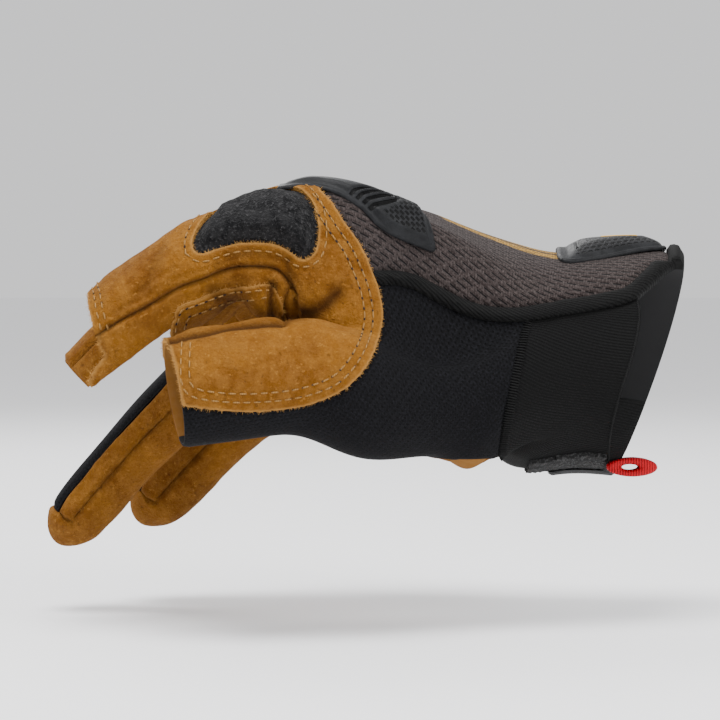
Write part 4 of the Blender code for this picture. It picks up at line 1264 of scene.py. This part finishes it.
# Grooves and pits are painted near-black: painted shade in them.
deep = calc(tree, "MAXIMUM", groove, pit)
colour = mixed(tree, ranged(tree, dust, 0.35, 0.75), RUBBER, RUBBER_LIGHT)
tree.links.new(mixed(tree, deep, colour, RUBBER_RECESS_SHADE), shader.inputs["Base Color"])
tree.links.new(ranged(tree, dust, 0.3, 0.7, 0.42, 0.58), shader.inputs["Roughness"])
shader.inputs["Specular IOR Level"].default_value = 0.12
bumped(tree, shader, calc(tree, "SUBTRACT", calc(tree, "MULTIPLY", grain, 0.1), deep), 0.0009, 1.0)


def overlay(rows, strips, depth):
    """Panel of a fresh skin inside an outline, within the rows and strips given."""
    sheet, regions = smooth_skin(SKIN_LEVEL)
    far = []
    for face in sheet.faces:
        row, strip = regions[face.material_index]
        if row not in rows or strip not in strips:
            far.append(face)
    bmesh.ops.delete(sheet, geom=far, context="FACES")
    sheet.normal_update()
    cut(sheet, depth, lambda p: np.ones(len(p), bool))
    sheet.verts.index_update()
    values = depth(np.array([tuple(vert.co) for vert in sheet.verts]))
    chosen = [face for face in sheet.faces if values[[vert.index for vert in face.verts]].sum() > 0]
    panel = Panel(chosen, sheet.loops.layers.uv["weave"])
    sheet.free()
    return panel


guard_plan = inside(rounded(GUARD))
guard_edge = inside([*rounded(GUARD_EDGE, closed=False), (-44, 90), (-92, 90)])


def guard_depth(p):
    lobe = guard_edge(p[:, [0, 2]]) + 3 * np.maximum(0, p[:, 1] + 22)
    return np.minimum(np.minimum(guard_plan(p[:, :2]), lobe), p[:, 2] - GUARD_LOW)


panel = overlay(("palm", "fork", "knuckle", "web"),
                ("D0", "D1", "D2", "D3", "D4", "D5", "D6", "D7", "D8", "R7"), guard_depth).finer()
x, y, z = panel.points.T
d = panel.border
lift = GUARD_FLANGE - 0.5 * (1 - step_up(d, 0, 0.5))
lift += (GUARD_TOP - GUARD_FLANGE) * step_up(d, GUARD_FLANGE_WIDTH, WALL_WIDTH) * step_up(x, -91, -81)
# Grooves climb the side wall, then turn and run on along the top.
chevron = x - GROOVE_FIRST - 0.64 * np.minimum(d, WALL_WIDTH) - 0.9 * np.maximum(d - WALL_WIDTH, 0)
phase = chevron / GROOVE_PITCH
groove = np.exp(-((phase - np.round(phase)) * GROOVE_PITCH / 0.45) ** 2)
groove *= (phase > -0.5) * (phase < GROOVE_COUNT - 0.5) * step_up(d, 1.2, 2.2) * (1 - step_up(d, 13, 16))
lobe = step_up(-y, 6, 9)
groove *= lobe
# A field of small pits lies on the lobe, behind the grooves, in rows along its length.
along = 0.80 * (x + 66) - 0.42 * (z - 36) - 0.42 * (y + 22)
across = 0.42 * (x + 66) + 0.55 * (z - 36) + 0.72 * (y + 22)
field = step_up(phase, GROOVE_COUNT - 0.1, GROOVE_COUNT + 0.2)
field *= step_up(-45.5 - x, 0, 0.6) * step_up(-y, 12, 13)
lift -= GROOVE_DEPTH * groove
guard = panel.wall("guard_rubber", lift, -RUBBER_CLEAR, rubber, chevron=phase, lobe=lobe,
                   along=along, across=across, field=field)
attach(guard, "root")
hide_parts("knuckle_guard")

# Wrist pad.  Moulded rubber dome on the back of the cuff, for the edge of a tool box or a blow:
# a flange, a rounded nose, hexagonal pits in its flanks and a plain yellow bar printed on top.
WRIST_PAD = ((-12.5, -17), (-4, -15.5), (5, -12), (12, -8), (18, -3), (19, 6), (18, 13), (15, 18),
             (8, 20), (-3, 20), (-10, 16), (-12, 10), (-12.5, 0))
PAD_FLANGE = 1.3
PAD_TOP = 3.9
HEX_PITCH = 1.9
HEX_REACH = (2.3, 9.8)
YELLOW = (0.80, 0.42, 0.004, 1)
BAR = ((0, 10.5), (-1.5, 9))
pad_rubber, tree, shader = shader_of("pad_rubber", RUBBER, 0.48)
here = place_on(tree)
dust = noise(tree, here, 240, 4, 0.6)
split = tree.nodes.new("ShaderNodeSeparateXYZ")
tree.links.new(here, split.inputs[0])
inwards = calc(tree, "MULTIPLY", mark_of(tree, "border"), 1000.0)
row = calc(tree, "DIVIDE", inwards, HEX_PITCH * 0.8)
column = calc(tree, "ADD", calc(tree, "DIVIDE", split.outputs[0], HEX_PITCH * MM), staggered(tree, row))
half = [from_middle(tree, column), from_middle(tree, row)]
slant = calc(tree, "ADD", calc(tree, "MULTIPLY", half[0], 0.87), calc(tree, "MULTIPLY", half[1], 0.5))
pit = ranged(tree, calc(tree, "MAXIMUM", slant, half[1]), 0.36, 0.29)
pit = calc(tree, "MULTIPLY", pit,
           calc(tree, "MULTIPLY", mark_of(tree, "field"), band(tree, inwards, *HEX_REACH, 0.1)))
colour = mixed(tree, ranged(tree, dust, 0.35, 0.75), RUBBER, RUBBER_LIGHT)
# The pits are painted near-black: painted shade in them.
colour = mixed(tree, pit, colour, RUBBER_RECESS_SHADE)
colour = mixed(tree, mark_of(tree, "bar"), colour, YELLOW)
tree.links.new(colour, shader.inputs["Base Color"])
tree.links.new(ranged(tree, dust, 0.3, 0.7, 0.4, 0.56), shader.inputs["Roughness"])
shader.inputs["Specular IOR Level"].default_value = 0.12
grain = calc(tree, "MULTIPLY", noise(tree, here, 3000, 1, 0.5), 0.1)
bumped(tree, shader, calc(tree, "SUBTRACT", grain, pit), 0.0008, 1.0)
pad_plan = inside(rounded(WRIST_PAD))
panel = overlay(("wrist", "heel"), ("D1", "D2", "D3", "D4", "D5", "D6", "D7"),
                lambda p: pad_plan(p[:, :2])).finer()
x, y, z = panel.points.T
d = panel.border
lift = PAD_FLANGE - 0.5 * (1 - step_up(d, 0, 0.5))
rise = np.clip((x + 9.6) / 9, 0, 1)
dome = np.clip((d - 1.4) / 5.5, 0, 1) ** 0.55 * np.sqrt(1 - (1 - rise) ** 2)
lift += (PAD_TOP - PAD_FLANGE) * dome
field = step_up(x, -8, -7) * step_up(np.abs(y - 3.5), 6, 6.5)
bar = np.minimum(np.minimum(x - BAR[0][0], BAR[0][1] - x), np.minimum(y - BAR[1][0], BAR[1][1] - y))
bar = step_up(bar, 0, 0.35)
lift += 0.18 * bar
pad = panel.wall("pad_rubber", lift, -RUBBER_CLEAR, pad_rubber, field=field, bar=bar)
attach(pad, "root")
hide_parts("wrist_pad")

# Palm patch.  A second layer of suede, sewn with two rows round the root of the index finger.
PATCH = ((-120, -20), (-120, 8), (-118.8, 13), (-117.6, 16), (-112, 18.3), (-104, 21.2), (-98, 21.6),
         (-93, 22), (-90, 18), (-88.5, 8), (-89, -20))
patch_plan = inside(rounded(PATCH), RAGGED)
panel = overlay(("web", "index0", "index1", "index2"), ("P1", "P0", "R1", "Pb", "Pa", "Ma"),
                lambda p: np.where(p[:, 0] < -60, patch_plan(p[:, [0, 2]]), -1))
# Painted shade in its folds.
fold, dark = folds(panel, SIDE_FOLDS)
lift = 1.0 + 0.3 * step_up(panel.border, 0, 1) + 0.1 * ripple(panel.points, 7, 95) + fold
patch = panel.wall("patch_suede", lift, -0.1, suede, crease=dark, raw=np.ones(len(dark)))
patch_panel = panel
patch_lift = lift
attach(patch, "root")
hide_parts("palm_patch")

# Closure.  A strip of hook-and-loop under the wrist with a frayed end, a thin rubber tab on it, and
# a pull loop of red ribbon beside them at the end of the cuff.
STRAP = ((-21, -17), (-21, 24), (0.6, 24), (0.6, -17))
TAB = ((-15, -5), (-15, 12), (4, 12), (4, -5))
FUZZ_DARK = (0.003, 0.003, 0.003, 1)
FUZZ_LIGHT = (0.045, 0.045, 0.045, 1)
PALM_STRIPS = ("U", "P8", "P7", "P6", "P5", "P4", "P3", "P2", "P1", "P0", "R1")
fuzzy, tree, shader = shader_of("hook_and_loop", FUZZ_DARK, 0.95)
here = place_on(tree)
loops = noise(tree, here, 1100, 3, 0.75)
colour = mixed(tree, ranged(tree, loops, 0.48, 0.66), FUZZ_DARK, FUZZ_LIGHT)
tree.links.new(colour, shader.inputs["Base Color"])
bumped(tree, shader, loops, 0.0012, 1.0)
strap_plan = inside(STRAP, 0.6)
panel = overlay(("wrist", "heel"), PALM_STRIPS, lambda p: strap_plan(p[:, :2]))
strap = panel.wall("closure_strip", 1.5 + 0.25 * ripple(panel.points, 1.8, 96), -0.3, fuzzy)
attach(strap, "root")
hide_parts("closure_strap")
tab_plan = inside(TAB)
panel = overlay(("wrist", "heel"), PALM_STRIPS, lambda p: tab_plan(p[:, :2]))
tab_material, tree, shader = shader_of("tab_rubber", RUBBER, 0.5)
here = place_on(tree)
dust = noise(tree, here, 300, 4, 0.6)
colour = mixed(tree, ranged(tree, dust, 0.35, 0.75), RUBBER, RUBBER_LIGHT)
tree.links.new(colour, shader.inputs["Base Color"])
bumped(tree, shader, noise(tree, here, 2500, 1, 0.5), 0.0001, 0.6)
tab = panel.wall("strap_tab_rubber", 3.0 - 0.5 * (1 - step_up(panel.border, 0, 0.6)), -2.0, tab_material)
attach(tab, "root")
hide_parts("strap_tab")

# Outline of the loop and of its hole, seen along +Y: middle x, z, half length and half height.
LOOP = (8.0, -29.6, 7.2, 2.7)
LOOP_HOLE = (7.4, -29.6, 2.2, 0.8)
LOOP_WIDTH = (-17, -9)
RED = (0.46, 0.002, 0.009, 1)
RED_DARK = (0.17, 0.0015, 0.003, 1)
ribbon, tree, shader = shader_of("red_ribbon", RED, 0.6)
here = place_on(tree)
threads = tree.nodes.new("ShaderNodeTexWave")
threads.inputs["Scale"].default_value = 420
threads.inputs["Distortion"].default_value = 0.6
tree.links.new(here, threads.inputs["Vector"])
tree.links.new(mixed(tree, threads.outputs["Fac"], RED_DARK, RED), shader.inputs["Base Color"])
bumped(tree, shader, threads.outputs["Fac"], 0.0002, 0.6)
shader.inputs["Specular IOR Level"].default_value = 0.15
LOOP_SIDES = 72
LOOP_SECTION = 14
shell = bmesh.new()
rings = []
for n in range(LOOP_SIDES):
    turn = math.tau * n / LOOP_SIDES
    way = np.array([math.cos(turn), math.sin(turn)])
    outer = np.array(LOOP[:2]) + np.array(LOOP[2:]) * way
    hole = np.array(LOOP_HOLE[:2]) + np.array(LOOP_HOLE[2:]) * way
    middle = (outer + hole) / 2
    half = (outer - hole) / 2
    ring = []
    for k in range(LOOP_SECTION):
        angle = math.tau * k / LOOP_SECTION
        round_x = math.copysign(abs(math.cos(angle)) ** 0.6, math.cos(angle))
        round_y = math.copysign(abs(math.sin(angle)) ** 0.6, math.sin(angle))
        place = middle + half * round_x
        width = (LOOP_WIDTH[1] - LOOP_WIDTH[0]) / 2 * (0.8 + 0.2 * math.cos(turn))
        across = (LOOP_WIDTH[0] + LOOP_WIDTH[1]) / 2 + width * round_y
        ring.append(shell.verts.new(Vector((place[0], across, place[1])) * MM))
    rings.append(ring)
for n in range(LOOP_SIDES):
    for k in range(LOOP_SECTION):
        following = rings[(n + 1) % LOOP_SIDES]
        shell.faces.new((rings[n][k], rings[n][(k + 1) % LOOP_SECTION],
                         following[(k + 1) % LOOP_SECTION], following[k]))
bmesh.ops.recalc_face_normals(shell, faces=shell.faces)
loop_mesh = bpy.data.meshes.new("pull_loop_ribbon")
shell.to_mesh(loop_mesh)
shell.free()
loop_mesh.materials.append(ribbon)
loop_mesh.shade_smooth()
pull_loop = put("pull_loop_ribbon", loop_mesh)
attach(pull_loop, "root")
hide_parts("pull_loop")

# Stitching.  Double rows of pale, thick thread hold the leather on; each stitch is a short bar
# between two needle holes, each drawn as a small dark bar of painted shade on the leather.
STITCH_PITCH = 2.8
STITCH_SIZE = (2.0, 0.5, 0.5)
HOLE_SIZE = (0.95, 0.55, 0.34)
THREAD = (0.33, 0.185, 0.06, 1)
THREAD_DARK = (0.15, 0.075, 0.02, 1)
NEEDLE_HOLE_SHADE = (0.012, 0.007, 0.004, 1)
thread, tree, shader = shader_of("thread", THREAD, 0.7)
here = place_on(tree)
twist = tree.nodes.new("ShaderNodeTexWave")
twist.inputs["Scale"].default_value = 700
tree.links.new(here, twist.inputs["Vector"])
tree.links.new(mixed(tree, twist.outputs["Fac"], THREAD_DARK, THREAD), shader.inputs["Base Color"])
bumped(tree, shader, twist.outputs["Fac"], 0.0001, 0.5)
shader.inputs["Specular IOR Level"].default_value = 0.1
# Near-black brown painted shade for the needle holes.
needle_hole, tree, shader = shader_of("needle_hole", NEEDLE_HOLE_SHADE, 1.0)


def bar_mesh(name, length, width, height, material, sides=6, rings=5):
    """Low rounded bar along X."""
    shape = bmesh.new()
    bmesh.ops.create_uvsphere(shape, u_segments=sides, v_segments=rings, radius=0.5)
    for vert in shape.verts:
        x, y, z = vert.co.z, vert.co.y, vert.co.x
        vert.co = Vector((math.copysign(abs(2 * x) ** 0.7, x) * length / 2, y * width, z * height)) * MM
    bmesh.ops.recalc_face_normals(shape, faces=shape.faces)
    mesh = bpy.data.meshes.new(name)
    shape.to_mesh(mesh)
    shape.free()
    mesh.materials.append(material)
    mesh.shade_smooth()
    piece = put(name, mesh)
    return piece


def stitching_tree():
    """Sets one object at every step along a line, lying along it."""
    tree = bpy.data.node_groups.new("Stitching", "GeometryNodeTree")
    face = tree.interface
    face.new_socket("Geometry", in_out="INPUT", socket_type="NodeSocketGeometry")
    face.new_socket("Stitch", in_out="INPUT", socket_type="NodeSocketObject")
    face.new_socket("Pitch", in_out="INPUT", socket_type="NodeSocketFloat")
    face.new_socket("Thread", in_out="INPUT", socket_type="NodeSocketMaterial")
    face.new_socket("Geometry", in_out="OUTPUT", socket_type="NodeSocketGeometry")
    entry = tree.nodes.new("NodeGroupInput")
    out = tree.nodes.new("NodeGroupOutput")
    curve = node(tree, "GeometryNodeMeshToCurve", Mesh=entry.outputs["Geometry"])
    resample = tree.nodes.new("GeometryNodeResampleCurve")
    resample.mode = "LENGTH"
    tree.links.new(curve.outputs[0], resample.inputs["Curve"])
    tree.links.new(entry.outputs["Pitch"], resample.inputs["Length"])
    up = tree.nodes.new("GeometryNodeInputNamedAttribute")
    up.data_type = "FLOAT_VECTOR"
    up.inputs["Name"].default_value = "up"
    tangent = tree.nodes.new("GeometryNodeInputTangent")
    lie = tree.nodes.new("FunctionNodeAlignEulerToVector")
    lie.axis = "X"
    tree.links.new(tangent.outputs[0], lie.inputs["Vector"])
    stand = tree.nodes.new("FunctionNodeAlignEulerToVector")
    stand.axis = "Z"
    stand.pivot_axis = "X"
    tree.links.new(lie.outputs[0], stand.inputs["Rotation"])
    tree.links.new(up.outputs[0], stand.inputs["Vector"])
    stitch = node(tree, "GeometryNodeObjectInfo", Object=entry.outputs["Stitch"])
    instances = tree.nodes.new("GeometryNodeInstanceOnPoints")
    tree.links.new(resample.outputs[0], instances.inputs["Points"])
    tree.links.new(stitch.outputs["Geometry"], instances.inputs["Instance"])
    tree.links.new(stand.outputs[0], instances.inputs["Rotation"])
    real = node(tree, "GeometryNodeRealizeInstances", Geometry=instances.outputs[0])
    paint = node(tree, "GeometryNodeSetMaterial", Geometry=real.outputs[0])
    tree.links.new(entry.outputs["Thread"], paint.inputs["Material"])
    tree.links.new(paint.outputs[0], out.inputs[0])
    return tree


stitching = stitching_tree()


def grown(piece, tree, **values):
    """Mesh that a tree makes of an object, with the values of its named inputs."""
    modifier = piece.modifiers.new(tree.name, "NODES")
    modifier.node_group = tree
    sockets = {item.name: item.identifier for item in tree.interface.items_tree
               if item.in_out == "INPUT"}
    for name, value in values.items():
        modifier[sockets[name]] = value
    return finished(piece)


def sewn(name, lines, ups, stitch, pitch, material):
    """Runs the stitching tree on lines of points in millimetres, as one plain mesh."""
    mesh = bpy.data.meshes.new(name)
    points = []
    edges = []
    for line in lines:
        edges += [(len(points) + i, len(points) + i + 1) for i in range(len(line) - 1)]
        points += [tuple(np.array(p) * MM) for p in line]
    mesh.from_pydata(points, edges, [])
    attribute = mesh.attributes.new("up", "FLOAT_VECTOR", "POINT")
    attribute.data.foreach_set("vector", [value for line in ups for up in line for value in up])
    piece = put(name, mesh)
    made = grown(piece, stitching, Stitch=stitch, Pitch=pitch * MM, Thread=material)
    made.shade_smooth()
    result = put(name, made)
    return result


def laid_on(panel, lift, line, above):
    """A line seen along +Y, laid on a panel's outer face: its runs and the face's directions."""
    outer = panel.points + panel.normals * np.reshape(lift, (-1, 1))
    tree = BVHTree.FromPolygons([Vector(p) for p in outer], panel.faces)
    runs = [[]]
    ups = [[]]
    for x, z in line:
        place, normal, _, _ = tree.ray_cast(Vector((x, -200, z)), Vector((0, 1, 0)))
        if place is not None and place.y > 0:
            place = None
        if place is None or (runs[-1] and (Vector(runs[-1][-1]) - place).length > 4):
            if runs[-1]:
                runs.append([])
                ups.append([])
        if place is not None:
            runs[-1].append(place + normal * above)
            ups[-1].append(normal)
    keep = [i for i, run in enumerate(runs) if len(run) > 2]
    return [runs[i] for i in keep], [ups[i] for i in keep]


def even(line, step):
    """Points at an even step along a line."""
    line = np.array(line, float)
    run = np.concatenate([[0], np.cumsum(np.linalg.norm(np.diff(line, axis=0), axis=1))])
    at = np.arange(0, run[-1], step)
    return np.stack([np.interp(at, run, line[:, k]) for k in range(2)], axis=1)


def beside(line, distance):
    """A line shifted to its left by a distance."""
    line = even(line, 0.5)
    way = np.gradient(line, axis=0)
    way /= np.linalg.norm(way, axis=1)[:, None]
    for _ in range(8):
        way[1:-1] = (way[:-2] + way[1:-1] + way[2:]) / 3
    return line + distance * np.stack([-way[:, 1], way[:, 0]], axis=1)


stitch = bar_mesh("stitch", *STITCH_SIZE, thread)
hole = bar_mesh("needle_hole", *HOLE_SIZE, needle_hole)
# The saddle's rows go up the thumb's hem, round under the thumb and up to the guard.
THUMB_BORDER = ((-79, 47.5), (-76.5, 44.5), (-72.7, 38.7), (-69, 33.5), (-66.5, 28.5), (-64, 22),
                (-62.7, 15.5), (-62.9, 10), (-64.5, 5), (-68, -1), (-73, -6), (-80, -9), (-88, -10.6),
                (-98, -11.2), (-106, -10.8), (-112, -9.8), (-115.5, -8), (-117.6, -4), (-118, 2),
                (-117.8, 7))
border = rounded(THUMB_BORDER, closed=False)
inset_line = rounded(INSET)
inset_line = np.vstack([inset_line, inset_line[:1]])
hem_line = ((-144.5, 23), (-142.3, 19), (-140, 9.8))
# How far each row of stitches runs from its edge, and how high its thread lies.
INSET_ROW = 2.2
HEM_ROWS = (1.8, 3.6)
PATCH_ROWS = (1.6, 3.9)
ROW_STEP = 0.7
THREAD_LIFT = 0.12
HOLE_DEPTH = 0.03
patch_line = rounded(PATCH)[6:44]
rows = [(saddle_panel, saddle_lift, beside(border, -SADDLE_ROWS[0])),
        (saddle_panel, saddle_lift, beside(border, -SADDLE_ROWS[1])),
        (saddle_panel, saddle_lift, beside(inset_line, INSET_ROW)),
        (saddle_panel, saddle_lift, beside(hem_line, HEM_ROWS[0])),
        (saddle_panel, saddle_lift, beside(hem_line, HEM_ROWS[1])),
        (patch_panel, patch_lift, beside(patch_line, -PATCH_ROWS[0])),
        (patch_panel, patch_lift, beside(patch_line, -PATCH_ROWS[1]))]
threads = []
thread_ups = []
holes = []
hole_ups = []
for panel, lift, line in rows:
    runs, ups = laid_on(panel, lift, even(line, ROW_STEP), THREAD_LIFT)
    threads += runs
    thread_ups += ups
    holes += [[place - HOLE_DEPTH * up for place, up in zip(run, way)][2:]
              for run, way in zip(runs, ups)]
    hole_ups += [way[2:] for way in ups]
for name, lines, ups, bar, material in (("saddle_stitches", threads, thread_ups, stitch, thread),
                                        ("needle_holes", holes, hole_ups, hole, needle_hole)):
    piece = sewn(name, lines, ups, bar, STITCH_PITCH, material)
    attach(piece, "root")
    bpy.data.objects.remove(bar)

# Overlock.  The elastic's front edge is sewn to the knit with close black stitches across it, and
# its free edge at the mouth is a thin woven selvedge.
OVERLOCK_SIZE = (0.42, 3.0, 0.55)
OVERLOCK_PITCH = 0.75
SELVEDGE_SIZE = (0.7, 0.8, 0.7)
SELVEDGE_PITCH = 0.6
BLACK_THREAD = (0.006, 0.006, 0.006, 1)
black_thread, tree, shader = shader_of("black_thread", BLACK_THREAD, 0.8)
shader.inputs["Specular IOR Level"].default_value = 0.15
# Each row: its outline, how far past it and how high it lies, and its stitches.
for name, outline, beyond, above, size, pitch in (
        ("overlock_stitches", CUFF_EDGE, 0.5, 0.1, OVERLOCK_SIZE, OVERLOCK_PITCH),
        ("selvedge", CUFF_MOUTH, -0.5, 0.0, SELVEDGE_SIZE, SELVEDGE_PITCH)):
    bar = bar_mesh(name + "_bar", *size, black_thread)
    line = even(beside(rounded(outline, closed=False), beyond), 0.6)
    runs, ups = laid_on(cuff_panel, cuff_lift, line, above)
    piece = sewn(name, runs, ups, bar, pitch, black_thread)
    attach(piece, "root")
    bpy.data.objects.remove(bar)

# Fibres.  Cut suede ends in a fringe of short, fine fibres, all of one leather; they stand out
# from every raw edge of the saddle, of the index stall's end and of the palm patch.
FIBRE_STEP = 0.16
FIBRE_LENGTH = 0.85
FIBRE_WIDTH = 0.09
FIBRE_SEED = 7
FIBRE = (0.50, 0.27, 0.075, 1)
fibre_material, tree, shader = shader_of("suede_fibre", FIBRE, 0.9)
shader.inputs["Specular IOR Level"].default_value = 0.1


def fibre_tree():
    """Sets a fibre on every point, along its direction and a little off it, long or short."""
    tree = bpy.data.node_groups.new("Fibres", "GeometryNodeTree")
    face = tree.interface
    face.new_socket("Geometry", in_out="INPUT", socket_type="NodeSocketGeometry")
    face.new_socket("Fibre", in_out="INPUT", socket_type="NodeSocketObject")
    face.new_socket("Material", in_out="INPUT", socket_type="NodeSocketMaterial")
    face.new_socket("Geometry", in_out="OUTPUT", socket_type="NodeSocketGeometry")
    entry = tree.nodes.new("NodeGroupInput")
    out = tree.nodes.new("NodeGroupOutput")
    way = tree.nodes.new("GeometryNodeInputNamedAttribute")
    way.data_type = "FLOAT_VECTOR"
    way.inputs["Name"].default_value = "up"
    draws = []
    for number, (kind, low, high) in enumerate((("FLOAT_VECTOR", (-0.6, -0.6, -0.6), (0.6, 0.6, 0.6)),
                                                ("FLOAT", 0.35, 1.2))):
        draw = tree.nodes.new("FunctionNodeRandomValue")
        draw.data_type = kind
        sockets = [socket for socket in draw.inputs if socket.enabled and socket.name in ("Min", "Max")]
        sockets[0].default_value = low
        sockets[1].default_value = high
        draw.inputs["Seed"].default_value = FIBRE_SEED + number
        draws.append(next(socket for socket in draw.outputs if socket.enabled))
    lean = tree.nodes.new("ShaderNodeVectorMath")
    lean.operation = "ADD"
    tree.links.new(way.outputs[0], lean.inputs[0])
    tree.links.new(draws[0], lean.inputs[1])
    stand = tree.nodes.new("FunctionNodeAlignEulerToVector")
    stand.axis = "Z"
    tree.links.new(lean.outputs[0], stand.inputs["Vector"])
    fibre = node(tree, "GeometryNodeObjectInfo", Object=entry.outputs["Fibre"])
    instances = tree.nodes.new("GeometryNodeInstanceOnPoints")
    tree.links.new(entry.outputs["Geometry"], instances.inputs["Points"])
    tree.links.new(fibre.outputs["Geometry"], instances.inputs["Instance"])
    tree.links.new(stand.outputs[0], instances.inputs["Rotation"])
    tree.links.new(draws[1], instances.inputs["Scale"])
    real = node(tree, "GeometryNodeRealizeInstances", Geometry=instances.outputs[0])
    paint = node(tree, "GeometryNodeSetMaterial", Geometry=real.outputs[0])
    tree.links.new(entry.outputs["Material"], paint.inputs["Material"])
    tree.links.new(paint.outputs[0], out.inputs[0])
    return tree


def fringe(panel, lift, depth, keep):
    """Points along the raw edges of a panel, on the leather's cut, and the way out of each."""
    draw = np.random.default_rng(FIBRE_SEED)
    places = []
    ways = []
    lift = np.broadcast_to(lift, len(panel.points))
    for a, b in panel.rim:
        if not keep(panel.points[a]):
            continue
        span = panel.points[b] - panel.points[a]
        out = np.cross(span, panel.normals[a])
        out /= max(np.linalg.norm(out), 1e-9)
        for _ in range(draw.poisson(np.linalg.norm(span) / FIBRE_STEP)):
            t = draw.uniform()
            height = (1 - t) * lift[a] + t * lift[b] - draw.uniform(0, depth)
            normal = (1 - t) * panel.normals[a] + t * panel.normals[b]
            places.append(panel.points[a] + t * span + normal * height)
            ways.append(out + 0.35 * normal)
    return places, ways


fibre_shape = bmesh.new()
bmesh.ops.create_cone(fibre_shape, segments=3, radius1=FIBRE_WIDTH / 2 * MM,
                      radius2=FIBRE_WIDTH / 8 * MM, depth=FIBRE_LENGTH * MM, cap_ends=True)
bmesh.ops.translate(fibre_shape, verts=fibre_shape.verts, vec=(0, 0, FIBRE_LENGTH / 2 * MM))
fibre_mesh = bpy.data.meshes.new("fibre")
fibre_shape.to_mesh(fibre_mesh)
fibre_shape.free()
fibre = put("fibre", fibre_mesh)
index_seam = rounded(INDEX_SEAM, closed=False)


def raw_saddle(point):
    """True on the saddle's raw edges, away from the index seam and from the back."""
    return point[1] < -15 and to_line(point[None, [0, 2]], index_seam)[0] > 1.5


places = []
ways = []
for panel, lift, depth, keep in ((saddle_panel, saddle_lift, SUEDE_WALL, raw_saddle),
                                 (index_panel, index_lift, SUEDE_WALL, lambda point: point[0] < -134),
                                 (patch_panel, patch_lift, 1.0, lambda point: True)):
    some, out = fringe(panel, lift, depth, keep)
    places += some
    ways += out
mesh = bpy.data.meshes.new("fringe")
mesh.from_pydata((np.array(places) * MM).tolist(), [], [])
mesh.attributes.new("up", "FLOAT_VECTOR", "POINT").data.foreach_set("vector", np.array(ways).ravel())
piece = put("fringe", mesh)
fringe_piece = put("suede_fibres", grown(piece, fibre_tree(), Fibre=fibre, Material=fibre_material))
bpy.data.objects.remove(fibre)
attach(fringe_piece, "root")
